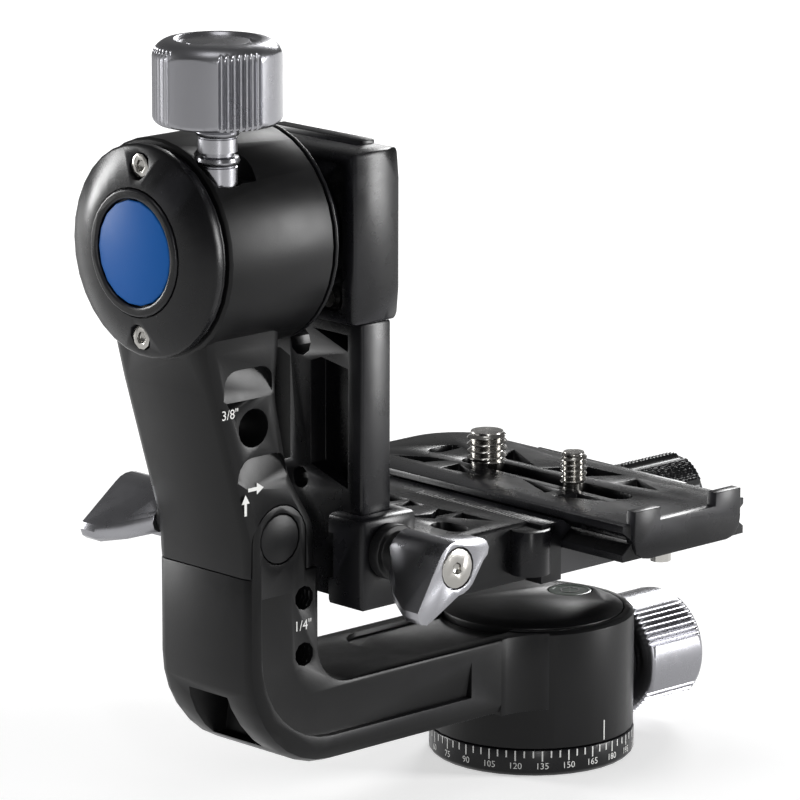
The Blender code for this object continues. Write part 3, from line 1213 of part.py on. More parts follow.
def rail():
    half = RAIL_WIDTH / 2
    top = BLOCK_LOW - SEAT_GAP
    item = prism("hanging_rail", box_outline(RAIL_FRONT_X, RAIL_REAR_X, -half, half), "Z", RAIL_LOW, top,
                 (0, 0, TILT_Z), BLACK_ANODISED, RAIL_EDGE)
    tongue_half = RAIL_TONGUE_WIDTH / 2
    tongue = form("rail_tongue", box_outline(RAIL_FRONT_X, RAIL_FRONT_X + RAIL_TONGUE_THICKNESS,
                                             -tongue_half, tongue_half), "Z", top - RAIL_POCKET_DEPTH,
                  BLOCK_LOW + RAIL_TONGUE_HEIGHT)
    join(item, tongue)
    front = RAIL_FRONT_X - CUT_OVERRUN
    floor = RAIL_FRONT_X + RAIL_POCKET_DEPTH
    rib = RAIL_RIB / 2
    border = half - RAIL_BORDER
    for side in (-1, 1):
        main = [(side * rib, RAIL_POCKET_LOW + RAIL_POCKET_SLANT), (side * rib, RAIL_POCKET_HIGH),
                (side * 2 * rib, RAIL_POCKET_HIGH + RAIL_POCKET_SLANT / 3),
                (side * border, RAIL_POCKET_HIGH), (side * border, RAIL_POCKET_LOW)]
        window = [(side * (rib + RAIL_POCKET_SLANT / 3), RAIL_WINDOW_HIGH),
                  (side * border, RAIL_WINDOW_HIGH), (side * border, RAIL_WINDOW_LOW)]
        cut(item, form(f"rail_pocket_{side}", main, "X", front, floor),
            form(f"rail_window_{side}", window, "X", front, floor))
    rear = RAIL_REAR_X + CUT_OVERRUN
    cut(item, bore("rail_eye", RAIL_EYE_RADIUS, ABOUT_X, (0, 0, RAIL_EYE_Z), front, rear, SCREW_STEPS),
        bore("rail_lower_eye", RAIL_LOWER_EYE_RADIUS, ABOUT_X, (0, 0, RAIL_LOWER_EYE_Z), front, rear,
             SCREW_STEPS))
    tip = BLOCK_FRONT_X + BLOCK_RECESS_DEPTH - SEAT_GAP + RAIL_SCREW_LENGTH + SEAT_GAP
    for name, place in rail_screw_places():
        cut(item, bore(f"rail_screw_thread_{name}", RAIL_SCREW_RADIUS + FIT_GAP, ABOUT_X, place, front, tip,
                       SCREW_STEPS))


# Carriage: one casting of the clamp round the rail, the platform and the fixed half of the plate clamp

def groove_slope():
    """How far the clamp teeth stand off the plate's groove, along X, to keep the fit gap square to it."""
    rise = (GROOVE_HIGH - GROOVE_LOW) / 2
    return FIT_GAP * (rise * rise + GROOVE_DEPTH * GROOVE_DEPTH) ** 0.5 / rise


def jaw_section(side, outer_x, low):
    """Section of a jaw: its tooth reaches into the V groove in the plate's side."""
    stand_off = groove_slope()
    face = PLATE_WIDTH / 2 + stand_off
    middle = (GROOVE_LOW + GROOVE_HIGH) / 2
    top_reach = GROOVE_DEPTH * (GROOVE_HIGH - PLATFORM_TOP) / (GROOVE_HIGH - middle)
    return [(side * outer_x, low), (side * face, low), (side * face, GROOVE_LOW),
            (side * (face - GROOVE_DEPTH), middle), (side * (face - top_reach), PLATFORM_TOP),
            (side * outer_x, PLATFORM_TOP)]


def carriage_side():
    """Where the outer face of the carriage's side wall stands, outside the rail."""
    return RAIL_WIDTH / 2 + CARRIAGE_WALL


def carriage():
    half = carriage_side()
    gap = FIT_GAP
    body = prism("carriage", box_outline(CARRIAGE_FRONT_X, CARRIAGE_BACK_X + PLATFORM_CORNER, -half,
                                         half), "Z", CARRIAGE_LOW, CARRIAGE_HIGH, (0, 0, 0),
                 BLACK_ANODISED, CARRIAGE_EDGE)
    trim = box_outline(CARRIAGE_BACK_X, 0, PLATFORM_TOP, 2 * CARRIAGE_HIGH)
    cut(body, form("carriage_back_trim", trim, "Y", -2 * half, 2 * half))
    platform_half = PLATFORM_WIDTH / 2
    platform = form("platform", box_outline(RAIL_REAR_X + PLATFORM_CORNER, JAW_START_X + PLATFORM_CORNER,
                                            -platform_half, platform_half), "Z",
                    PLATFORM_LOW, PLATFORM_TOP, PLATFORM_EDGE)
    jaw_half = JAW_WIDTH / 2
    jaw = form("fixed_jaw", jaw_section(-1, -JAW_START_X, PLATFORM_LOW), "Y", -jaw_half, jaw_half)
    bed_half = CLAMP_BED_WIDTH / 2
    bed = filleted([(JAW_START_X + PLATFORM_CORNER, -bed_half),
                    (CLAMP_BED_END_X - CLAMP_BED_CHAMFER, -bed_half),
                    (CLAMP_BED_END_X, -bed_half + CLAMP_BED_CHAMFER),
                    (CLAMP_BED_END_X, bed_half - CLAMP_BED_CHAMFER),
                    (CLAMP_BED_END_X - CLAMP_BED_CHAMFER, bed_half),
                    (JAW_START_X + PLATFORM_CORNER, bed_half)], [0] * 6)
    join(body, platform, jaw, form("clamp_bed", bed, "Z", PLATFORM_LOW + PLATFORM_EDGE, CLAMP_BED_TOP))
    for name, side in (("front", -1), ("back", 1)):
        centre = (FINGER_X, side * (jaw_half - FINGER_RADIUS / 2), 0)
        join(body, bore(f"finger_{name}", FINGER_RADIUS, ABOUT_Z, centre, FINGER_LOW,
                        PLATFORM_TOP - PLATFORM_EDGE))
    rail_half = RAIL_WIDTH / 2
    room = box_outline(RAIL_FRONT_X - gap, RAIL_REAR_X + gap, -rail_half - gap, rail_half + gap)
    mouth_half = CARRIAGE_MOUTH_WIDTH / 2
    mouth = box_outline(CARRIAGE_FRONT_X - CUT_OVERRUN, RAIL_REAR_X, -mouth_half, mouth_half)
    step_half = mouth_half + CARRIAGE_MOUTH_STEP
    step = box_outline(CARRIAGE_FRONT_X - CUT_OVERRUN, RAIL_REAR_X, -step_half, step_half)
    low = PLATFORM_LOW - CUT_OVERRUN
    high = CARRIAGE_HIGH + CUT_OVERRUN
    gib = box_outline(WING_X - GIB_WIDTH / 2 - gap, WING_X + GIB_WIDTH / 2 + gap,
                      -rail_half - gap - GIB_THICKNESS - GIB_TRAVEL - gap, 0)
    gib_half = GIB_LENGTH / 2 + gap
    centre = (WING_X, 0, WING_Z)
    cut(body, form("rail_room", room, "Z", low, high), form("carriage_mouth", mouth, "Z", low, high),
        form("carriage_mouth_step", step, "Z", CARRIAGE_STEP_LOW, CARRIAGE_STEP_HIGH),
        form("gib_room", gib, "Z", WING_Z - gib_half, WING_Z + gib_half),
        bore("wing_thread", LOCK_SCREW_RADIUS + gap, ABOUT_Y, centre, -2 * half, -rail_half),
        bore("clamp_screw_thread", CLAMP_SCREW_RADIUS + gap, ABOUT_X, (0, 0, CLAMP_SCREW_Z),
             CLAMP_SCREW_START_X - gap, JAW_END_X, SCREW_STEPS))
    for index, shares in enumerate(PLATFORM_POCKET_SHARES):
        for side in (-1, 1):
            outline = [(JAW_START_X + (1 - share_x) * (CARRIAGE_BACK_X - JAW_START_X),
                        side * share_y * platform_half) for share_x, share_y in shares]
            cut(body, form(f"platform_pocket_{index}_{side}", outline, "Z",
                           PLATFORM_TOP - PLATFORM_POCKET_DEPTH, high))
    for side in (-1, 1):
        near, far = sorted((side * (platform_half - PLATFORM_HOLE_BORDER - PLATFORM_HOLE_LENGTH),
                            side * (platform_half - PLATFORM_HOLE_BORDER)))
        hole = slot_outline(PLATFORM_HOLE_X, near, far, PLATFORM_HOLE_WIDTH / 2)
        cut(body, form(f"platform_hole_{side}", hole, "Z", low, high))


def carriage_lock():
    centre = (WING_X, 0, WING_Z)
    face = -RAIL_WIDTH / 2 - FIT_GAP
    back = face - GIB_THICKNESS
    prism("rail_gib", box_outline(WING_X - GIB_WIDTH / 2, WING_X + GIB_WIDTH / 2, WING_Z - GIB_LENGTH / 2,
                                  WING_Z + GIB_LENGTH / 2), "Y", back, face, centre, BRASS)
    collar_end = -carriage_side() - SEAT_GAP
    collar = collar_end - WING_COLLAR_LENGTH
    inner = LOCK_SCREW_RADIUS + FIT_GAP
    neck = (inner + WING_COLLAR_RADIUS) / 2
    middle = collar + WING_COLLAR_LENGTH / 2
    profile = [(inner, collar), (neck, collar), (neck, middle), (WING_COLLAR_RADIUS, middle),
               (WING_COLLAR_RADIUS, collar_end), (inner, collar_end)]
    turned("wing_collar", profile, ABOUT_Y, centre, NYLON)
    knob = collar - SEAT_GAP
    tip = back - GIB_TRAVEL - SEAT_GAP
    turned("wing_screw", rod_profile(LOCK_SCREW_RADIUS, knob - WING_SCREW_REACH + SEAT_GAP, tip), ABOUT_Y,
           centre, STEEL)
    wing_knob("carriage_wing_knob", WING_X, WING_Z, knob, -1, WING_LONG_DEGREES, WING_SHORT_DEGREES)


# Plate clamp: the jaw that moves and the knurled knob that draws it in

def plate_jaw():
    half = JAW_WIDTH / 2 - JAW_CORNER
    jaw = prism("plate_jaw", jaw_section(1, JAW_END_X, PLATFORM_LOW), "Y", -half, half, (0, 0, 0),
                BLACK_ANODISED)
    foot = box_outline(CLAMP_BED_END_X + SEAT_GAP, JAW_END_X - PLATFORM_EDGE, -half + JAW_CORNER,
                       half - JAW_CORNER)
    join(jaw, form("jaw_foot", foot, "Z", PLATFORM_LOW + PLATFORM_EDGE, CLAMP_BED_TOP))
    cut(jaw, bore("jaw_screw_hole", CLAMP_SCREW_RADIUS + FIT_GAP, ABOUT_X, (0, 0, CLAMP_SCREW_Z), 0,
                  JAW_END_X + CUT_OVERRUN))


def clamp_knob_section():
    """Radius and angle of each point round the clamp knob, a scoop between each two of its lands."""
    section = []
    side = 2 * pi / CLAMP_KNOB_SCOOPS
    land = side * (1 - CLAMP_SCOOP_SHARE)
    for index in range(CLAMP_KNOB_SCOOPS):
        start = index * side
        section += [(CLAMP_KNOB_RADIUS, start), (CLAMP_KNOB_RADIUS, start + land / 2)]
        for step in range(FILLET_STEPS):
            off_middle = 2 * step / FILLET_STEPS - 1
            section.append((CLAMP_KNOB_RADIUS - CLAMP_SCOOP_DEPTH * (1 - off_middle * off_middle),
                            start + land + (side - land) * step / FILLET_STEPS))
    return section


def clamp_knob():
    centre = (0, 0, CLAMP_SCREW_Z)
    neck_start = JAW_END_X + SEAT_GAP
    depth = CLAMP_KNOB_LENGTH / 2
    bore_end = CLAMP_KNOB_X + depth
    knob = knob_body("plate_clamp_knob", clamp_knob_section(), CLAMP_KNOB_LENGTH, CLAMP_KNOB_CHAMFER,
                     ABOUT_X, (CLAMP_KNOB_X, 0, CLAMP_SCREW_Z))
    join(knob, bore("clamp_knob_neck", CLAMP_NECK_RADIUS, ABOUT_X, centre, neck_start, bore_end))
    cut(knob, bore("clamp_knob_bore", CLAMP_SCREW_RADIUS + FIT_GAP, ABOUT_X, centre, 0, bore_end))
    turned("plate_clamp_screw", rod_profile(CLAMP_SCREW_RADIUS, CLAMP_SCREW_START_X, bore_end - SEAT_GAP),
           ABOUT_X, centre, STEEL)


# Camera plate, its two camera screws and its stop pins

def plate_section():
    half = PLATE_WIDTH / 2
    middle = (GROOVE_LOW + GROOVE_HIGH) / 2
    right = [(half, PLATE_LOW), (half, GROOVE_LOW), (half - GROOVE_DEPTH, middle), (half, GROOVE_HIGH),
             (half, PLATE_TOP)]
    return right + [(-x, z) for x, z in reversed(right)]


def camera_plate():
    half = PLATE_WIDTH / 2
    start = PLATE_FRONT_Y + LIP_THICKNESS / 2
    plate = prism("camera_plate", plate_section(), "Y", start, PLATE_BACK_Y, (0, 0, 0), BLACK_ANODISED)
    plan = filleted(box_outline(-half - CUT_OVERRUN, half + CUT_OVERRUN, PLATE_FRONT_Y - CUT_OVERRUN,
                                PLATE_BACK_Y),
                    [0, 0, PLATE_CORNER + CUT_OVERRUN, PLATE_CORNER + CUT_OVERRUN], 2 * FILLET_STEPS)
    combine(plate, "INTERSECT", form("plate_plan", plan, "Z", 0, 2 * PLATE_TOP))
    lip_half = LIP_WIDTH / 2
    lip_top = PLATE_TOP + UPSTAND_HEIGHT
    gap_half = lip_half - UPSTAND_WIDTH
    lip = filleted([(-lip_half, PLATE_LOW), (lip_half, PLATE_LOW), (lip_half, lip_top),
                    (gap_half, lip_top), (gap_half, PLATE_TOP), (-gap_half, PLATE_TOP),
                    (-gap_half, lip_top), (-lip_half, lip_top)],
                   [LIP_CORNER, LIP_CORNER, 0, 0, 0, 0, 0, 0])
    join(plate, form("plate_lip", lip, "Y", PLATE_FRONT_Y, PLATE_FRONT_Y + LIP_THICKNESS))
    top = PLATE_TOP + CUT_OVERRUN
    channel_half = CHANNEL_WIDTH / 2
    channel_low = SLOT_FRONT_Y - CHANNEL_MARGIN
    channel_high = SLOT_BACK_Y + CHANNEL_MARGIN
    end_slot = arc_points(END_SLOT_X + END_SLOT_LENGTH / 2 - END_SLOT_WIDTH / 2, END_SLOT_Y,
                          END_SLOT_WIDTH / 2, -90, 90, FILLET_STEPS)
    end_slot += arc_points(END_SLOT_X - END_SLOT_LENGTH / 2 + END_SLOT_WIDTH / 2, END_SLOT_Y,
                           END_SLOT_WIDTH / 2, 90, 270, FILLET_STEPS)
    cut(plate, form("camera_slot", slot_outline(0, SLOT_FRONT_Y, SLOT_BACK_Y, SLOT_WIDTH / 2), "Z",
                    PLATE_LOW - CUT_OVERRUN, top),
        form("camera_channel", slot_outline(0, channel_low, channel_high, channel_half), "Z",
             PLATE_LOW - CUT_OVERRUN, PLATE_LOW + CHANNEL_HEIGHT),
        form("end_slot", end_slot, "Z", PLATE_LOW - CUT_OVERRUN, top))
    for index, shares in enumerate(PLATE_POCKET_SHARES):
        outline = [(share_x * half, share_y * PLATE_BACK_Y) for share_x, share_y in shares]
        cut(plate, form(f"plate_pocket_{index}", outline, "Z", PLATE_TOP - PLATE_POCKET_DEPTH, top))
    for name, place in (("front", STOP_PIN_FRONT_Y), ("back", STOP_PIN_BACK_Y)):
        centre = (0, place, 0)
        sunk = PLATE_LOW + STOP_PIN_SINK
        cut(plate, bore(f"stop_pin_hole_{name}", STOP_PIN_SHANK_RADIUS + FIT_GAP, ABOUT_Z, centre,
                        PLATE_LOW - CUT_OVERRUN, sunk + SEAT_GAP, SCREW_STEPS))
        low = PLATE_LOW - SEAT_GAP
        profile = [(0, low - STOP_PIN_DROP), (STOP_PIN_RADIUS, low - STOP_PIN_DROP), (STOP_PIN_RADIUS, low),
                   (STOP_PIN_SHANK_RADIUS, low), (STOP_PIN_SHANK_RADIUS, sunk), (0, sunk)]
        turned(f"stop_pin_{name}", profile, ABOUT_Z, centre, STEEL, SCREW_STEPS)


def camera_stud(name, radius, place):
    """Camera screw with a coin head in the channel, and the washer that keeps it in the slot."""
    centre = (0, place, 0)
    ceiling = PLATE_LOW + CHANNEL_HEIGHT
    washer_top = ceiling - SEAT_GAP
    washer_low = washer_top - STUD_WASHER_THICKNESS
    head_top = washer_low - SEAT_GAP
    head_low = head_top - STUD_HEAD_HEIGHT
    turned(f"{name}_washer", ring_profile(STUD_SHANK_RADIUS + FIT_GAP, STUD_WASHER_RADIUS, washer_low,
                                          washer_top), ABOUT_Z, centre, STEEL)
    foot = PLATE_TOP + SEAT_GAP
    tip = PLATE_TOP + STUD_RISE
    profile = [(0, head_low), (STUD_HEAD_RADIUS, head_low), (STUD_HEAD_RADIUS, head_top),
               (STUD_SHANK_RADIUS, head_top), (STUD_SHANK_RADIUS, foot), (radius - STUD_CHAMFER, foot),
               (radius, foot + STUD_CHAMFER), (radius, tip - STUD_CHAMFER), (radius - STUD_CHAMFER, tip),
               (0, tip)]
    turned(name, profile, ABOUT_Z, centre, STEEL)


clear_scene()
dial_ring()
base_plate()
tripod_bush()
pan_spindle()
pan_bearing()
pan_nut()
lower_arm()
pan_cap()
pan_lock()
fold_joint()
upper_arm()
barrel_rings()
front_cap()
badge()
tilt_spindle()
tilt_lock()
cradle_block()
block_screws()
rail()
carriage()
carriage_lock()
plate_jaw()
clamp_knob()
camera_plate()
camera_stud("stud_three_eighths", BIG_STUD_RADIUS, BIG_STUD_Y)
camera_stud("stud_quarter", SMALL_STUD_RADIUS, SMALL_STUD_Y)
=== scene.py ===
import json
from math import cos, pi, radians, sin, sqrt

import bmesh
import bpy
from mathutils import Matrix, Vector


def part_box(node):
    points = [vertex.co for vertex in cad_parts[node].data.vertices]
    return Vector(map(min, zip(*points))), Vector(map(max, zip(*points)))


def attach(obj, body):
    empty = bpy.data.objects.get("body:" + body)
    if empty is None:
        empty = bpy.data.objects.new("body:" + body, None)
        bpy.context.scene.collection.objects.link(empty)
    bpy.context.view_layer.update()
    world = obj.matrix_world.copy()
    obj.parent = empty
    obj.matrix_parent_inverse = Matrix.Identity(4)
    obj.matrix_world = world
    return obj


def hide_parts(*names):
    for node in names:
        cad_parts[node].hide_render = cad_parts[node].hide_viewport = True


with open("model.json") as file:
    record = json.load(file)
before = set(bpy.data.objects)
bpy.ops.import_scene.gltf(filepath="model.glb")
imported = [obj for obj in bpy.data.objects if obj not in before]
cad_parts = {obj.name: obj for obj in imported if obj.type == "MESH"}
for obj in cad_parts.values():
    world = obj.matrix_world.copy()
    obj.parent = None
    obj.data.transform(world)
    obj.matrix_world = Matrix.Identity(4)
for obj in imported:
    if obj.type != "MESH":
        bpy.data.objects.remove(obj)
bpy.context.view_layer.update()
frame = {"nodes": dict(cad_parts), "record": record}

nodes = frame["nodes"]
scene = bpy.context.scene
scene.view_settings.view_transform = "Standard"


# Camera
# A long lens a little above the head, looking along the arm's corner at 46 degrees.
# Its place, lens and lean come from the edges of the photograph.

camera_place = Vector((-0.907580, -0.905532, 0.381779))
camera_heading = radians(46.2960)
camera_drop = radians(13.1456)
camera_lean = radians(0.1179)

camera_data = bpy.data.cameras.new("camera")
camera_data.sensor_width = 36
camera_data.lens = 259.763
camera_data.clip_start = 0.05
camera_data.clip_end = 40
camera = bpy.data.objects.new("camera", camera_data)
scene.collection.objects.link(camera)
camera.matrix_world = (Matrix.Translation(camera_place)
                       @ Matrix.Rotation(camera_heading - pi / 2, 4, "Z")
                       @ Matrix.Rotation(pi / 2 - camera_drop, 4, "X")
                       @ Matrix.Rotation(camera_lean, 4, "Z"))
scene.camera = camera


# Studio floor and light
# A plain pale floor that keeps the soft shadow, a dim even room, and five softboxes: a large one on
# the right, a narrow one behind the camera, one on the left, one behind on the right and one overhead.

def hex_colour(code):
    """The linear colour of an sRGB hex code."""
    parts = [int(code[i:i + 2], 16) / 255 for i in (1, 3, 5)]
    return [p / 12.92 if p <= 0.04045 else ((p + 0.055) / 1.055) ** 2.4 for p in parts] + [1]


def add_node(tree, kind, settings=(), inputs=()):
    """Adds a node, sets its properties, and sets or links its inputs."""
    node = tree.nodes.new(kind)
    for name, value in dict(settings).items():
        setattr(node, name, value)
    for name, value in dict(inputs).items():
        if isinstance(value, bpy.types.NodeSocket):
            tree.links.new(value, node.inputs[name])
        else:
            node.inputs[name].default_value = value
    return node


def new_material(name):
    """A named material with an empty node tree and its output node."""
    material = bpy.data.materials.new(name)
    material.use_nodes = True
    material.node_tree.nodes.clear()
    return material, material.node_tree, material.node_tree.nodes.new("ShaderNodeOutputMaterial")


floor_side = 8
floor_glow = 0.45
room_strength = 0.16
softbox_distance = 1.6
softbox_target = Vector((-0.03, 0, 0.09))

bpy.ops.object.select_all(action="DESELECT")
bpy.ops.mesh.primitive_plane_add(size=floor_side)
floor = bpy.context.object
floor.name = "floor"
floor_paper, tree, output = new_material("white_paper_floor")
path = add_node(tree, "ShaderNodeLightPath")
seen = add_node(tree, "ShaderNodeMath", {"operation": "MAXIMUM"},
                {0: path.outputs["Is Camera Ray"], 1: path.outputs["Is Glossy Ray"]})
seen = add_node(tree, "ShaderNodeMath", {"operation": "MAXIMUM"},
                {0: seen.outputs[0], 1: path.outputs["Is Transmission Ray"]})
paper = add_node(tree, "ShaderNodeBsdfDiffuse", (), {"Color": hex_colour("#E6E6E6")})
glow = add_node(tree, "ShaderNodeEmission", (), {"Color": (1, 1, 1, 1), "Strength": floor_glow})
lit_paper = add_node(tree, "ShaderNodeAddShader", (), {0: paper.outputs[0], 1: glow.outputs[0]})
mixed = add_node(tree, "ShaderNodeMixShader", (),
                 {0: seen.outputs[0], 1: paper.outputs[0], 2: lit_paper.outputs[0]})
tree.links.new(mixed.outputs[0], output.inputs["Surface"])
floor.data.materials.append(floor_paper)

world = bpy.data.worlds.new("room")
scene.world = world
world.use_nodes = True
world.node_tree.nodes["Background"].inputs["Color"].default_value = hex_colour("#FFFFFF")
world.node_tree.nodes["Background"].inputs["Strength"].default_value = room_strength


def add_softbox(name, heading, height, width, tall, radiance):
    """A softbox that faces the head from a compass heading and a height angle."""
    lamp = bpy.data.lights.new(name, "AREA")
    lamp.shape = "RECTANGLE"
    lamp.size = width
    lamp.size_y = tall
    lamp.energy = radiance * pi * width * tall
    holder = bpy.data.objects.new(name, lamp)
    scene.collection.objects.link(holder)
    away = Vector((cos(heading) * cos(height), sin(heading) * cos(height), sin(height)))
    holder.location = softbox_target + away * softbox_distance
    holder.rotation_euler = away.to_track_quat("Z", "Y").to_euler()
    holder.visible_camera = False


add_softbox("softbox_right", radians(-47), radians(8), 0.46, 0.8, 24)
add_softbox("softbox_camera", radians(-125), radians(12), 0.10, 0.9, 22)
add_softbox("softbox_left", radians(112), radians(8), 0.4, 0.8, 20)
add_softbox("softbox_back", radians(30), radians(24), 0.5, 0.5, 14)
add_softbox("softbox_top", radians(200), radians(75), 0.6, 0.6, 3)


# Castings and machined parts of the head
# Cast, sand blasted and painted or anodised aluminium; every edge is broken by a small chamfer that
# catches the light. Each piece is a merged copy of its solid, with its edges bevelled and smoothed.

mm = 0.001
patch_size = 14 * mm
smoother_by = 0.05
rougher_by = 0.07
edge_start = 0.53
edge_full = 0.62


def worn_and_edge_highlit_finish(name, colour, wear_and_highlight_colour, metal, rough, gloss, grain, depth):
    """A finish with a fine grain, uneven roughness, and edges painted a little lighter: rubbed wear and a
    painted highlight for light caught on the edges.
    """
    finish, tree, output = new_material(name)
    place = add_node(tree, "ShaderNodeTexCoord")
    grains = add_node(tree, "ShaderNodeTexNoise", (),
                      {"Vector": place.outputs["Object"], "Scale": 1 / grain, "Detail": 3.0,
                       "Roughness": 0.6})
    patches = add_node(tree, "ShaderNodeTexNoise", (),
                       {"Vector": place.outputs["Object"], "Scale": 1 / patch_size, "Detail": 4.0,
                        "Roughness": 0.65})
    roughness = add_node(tree, "ShaderNodeMapRange", (),
                         {"Value": patches.outputs["Fac"], "From Min": 0.3, "From Max": 0.7,
                          "To Min": rough - smoother_by, "To Max": rough + rougher_by})
    shape = add_node(tree, "ShaderNodeNewGeometry")
    edge = add_node(tree, "ShaderNodeMapRange", (),
                    {"Value": shape.outputs["Pointiness"], "From Min": edge_start, "From Max": edge_full})
    # Painted highlight and wear: on the mesh's pointy edges, in random patches, the colour is painted
    # lighter towards the edge colour. This stands for light caught on the edges as well as rubbed wear.
    wear_and_edge_highlight = add_node(tree, "ShaderNodeMath", {"operation": "MULTIPLY"},
                    {0: edge.outputs["Result"], 1: patches.outputs["Fac"]})
    tint = add_node(tree, "ShaderNodeMix", {"data_type": "RGBA"}, {0: wear_and_edge_highlight.outputs[0]})
    tint.inputs[6].default_value = hex_colour(colour)
    tint.inputs[7].default_value = hex_colour(wear_and_highlight_colour)
    relief = add_node(tree, "ShaderNodeBump", (),
                      {"Height": grains.outputs["Fac"], "Distance": depth, "Strength": 1.0})
    settings = {"Base Color": tint.outputs[2], "Roughness": roughness.outputs["Result"], "Metallic": metal,
                "Normal": relief.outputs[0]}
    if not metal:
        settings["Specular IOR Level"] = gloss
    surface = add_node(tree, "ShaderNodeBsdfPrincipled", (), settings)
    tree.links.new(surface.outputs[0], output.inputs["Surface"])
    return finish


# Soft black paint over a blasted casting: a broad dim sheen.
cast_black = worn_and_edge_highlit_finish("cast_satin_black_paint", "#09090A", "#2A2A2C", 0, 0.36, 0.22, 0.45 * mm,
                         0.012 * mm)
# Black anodised aluminium: tighter highlights than the paint, edges painted grey as rubbed wear and as a
# painted highlight.
anodised_black = worn_and_edge_highlit_finish("black_anodised_aluminium", "#08080A", "#303034", 0, 0.27, 0.26, 0.25 * mm,
                             0.004 * mm)
# Moulded nylon: dull black with a coarser grain.
black_nylon = worn_and_edge_highlit_finish("black_nylon_moulding", "#0B0B0C", "#1C1C1E", 0, 0.45, 0.3, 0.6 * mm, 0.006 * mm)
# Clear anodised aluminium: silver grey with soft bands of light.
silver = worn_and_edge_highlit_finish("clear_anodised_aluminium", "#8E8E92", "#C9C9CC", 1, 0.27, 0, 0.2 * mm, 0.004 * mm)
# Plated steel: brighter and smoother than the aluminium.
steel = worn_and_edge_highlit_finish("plated_steel", "#9C9A96", "#C8C6C2", 1, 0.22, 0, 0.3 * mm, 0.002 * mm)
# Turned brass: a warm metal, seen only where the head is opened.
brass = worn_and_edge_highlit_finish("turned_brass", "#A98A4E", "#C9A968", 1, 0.25, 0, 0.3 * mm, 0.002 * mm)
# Blue enamel: an even, deep blue with little gloss.
badge_blue = worn_and_edge_highlit_finish("blue_enamel_badge", "#0F5AA8", "#1E6AB8", 0, 0.42, 0.15, 0.5 * mm, 0.001 * mm)
# Fluid behind the vial's window: a smooth grey green.
level_green = worn_and_edge_highlit_finish("bubble_level_fluid", "#5E6660", "#7E867E", 0, 0.12, 0.5, 0.9 * mm, 0.001 * mm)
# Printed ink: matt white.
white_print = worn_and_edge_highlit_finish("white_printed_ink", "#D8D8D6", "#E4E4E2", 0, 0.5, 0.3, 0.3 * mm, 0.002 * mm)
finishes = {"satin_black": cast_black, "black_anodised": anodised_black, "silver_aluminium": silver,
            "steel": steel, "brass": brass, "black_nylon": black_nylon, "badge_blue": badge_blue,
            "level_vial": level_green}
slot_of = {row["node"]: row["material_slot"] for row in frame["record"]["subparts"]}

merge_distance = 0.004 * mm
flat_within = radians(1.5)
broken_edge = 0.3 * mm
broken_above = radians(35)
smooth_below = radians(40)


def solid_copy(node, body):
    """A merged copy of a CAD solid, with broken edges, that stands for it."""
    mesh = nodes[node].data.copy()
    mesh.materials.clear()
    mesh.materials.append(finishes[slot_of[node]])
    piece = bpy.data.objects.new(node + "_finished", mesh)
    scene.collection.objects.link(piece)
    piece.matrix_world = nodes[node].matrix_world.copy()
    edit = bmesh.new()
    edit.from_mesh(mesh)
    bmesh.ops.transform(edit, matrix=piece.matrix_world, verts=edit.verts)
    bmesh.ops.remove_doubles(edit, verts=edit.verts, dist=merge_distance)
    bmesh.ops.dissolve_limit(edit, angle_limit=flat_within, verts=edit.verts, edges=edit.edges)
    edit.to_mesh(mesh)
    edit.free()
    piece.matrix_world = Matrix.Identity(4)
    bpy.ops.object.select_all(action="DESELECT")
    bpy.context.view_layer.objects.active = piece
    piece.select_set(True)
    broken = piece.modifiers.new("broken_edges", "BEVEL")
    broken.width = broken_edge
    broken.segments = 2
    broken.limit_method = "ANGLE"
    broken.angle_limit = broken_above
    broken.use_clamp_overlap = True
    bpy.ops.object.modifier_apply(modifier=broken.name)
    bpy.ops.object.shade_smooth_by_angle(angle=smooth_below)
    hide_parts(node)
    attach(piece, body)


smooth_solids = {
    "base": ("dial_ring",),
    "arm": ("lower_arm", "pan_cap", "fold_pin_cover", "fold_collar"),
    "pan_knob": ("pan_knob_collar",),
    "fold_knob": ("fold_wing_knob", "fold_wing_knob_hub_screw"),
    "upper": ("upper_arm", "barrel_groove_ring", "barrel_rear_ring", "tilt_front_cap", "cap_screw_upper",
              "cap_screw_lower", "badge_ring", "badge_disc"),
    "swing": ("cradle_block", "hub_bolt", "hanging_rail"),
    "carriage": ("carriage",),
    "wing_knob": ("carriage_wing_knob", "carriage_wing_knob_hub_screw", "wing_collar"),
    "jaw": ("plate_jaw",),
    "plate": ("camera_plate",),
}
for body, names in smooth_solids.items():
    for name in names:
        solid_copy(name, body)
for name, node in nodes.items():
    for index, _ in enumerate(node.data.materials):
        node.data.materials[index] = finishes[slot_of[name]]
    if not node.data.materials:
        node.data.materials.append(finishes[slot_of[name]])


# Lock knobs of the pan and of the tilt
# Turned aluminium, clear anodised: four plain faces and four bands of seven lengthwise flutes, with
# round shoulders that cut the flutes off in pointed arches.

knob_radius = 13.85 * mm
plain_radius = 13.45 * mm
plain_bulge = 0.35 * mm
half_plain = radians(24)
flute_pitch = radians(6)
flute_depth = 0.95 * mm
flute_fullness = 1.2
foot_radius = 11.5 * mm
foot_height = 2 * mm
foot_steps = 6
shaft_steps = 4
crown_radius = 9.5 * mm
crown_height = 4 * mm
crown_steps = 14
knob_sides = 480
tilt_lock_x = -108.5 * mm
tilt_lock_y = -13.7 * mm
knob_gap = 0.02 * mm
# The dish in the knob's top, as radius and depth in millimetres.
dish = ((9.2, 0), (8.95, 0.15), (8.4, 0.9), (7.3, 1.05), (7.05, 0.9), (6.9, 0.55), (6.7, 0.5), (0.05, 0.5))


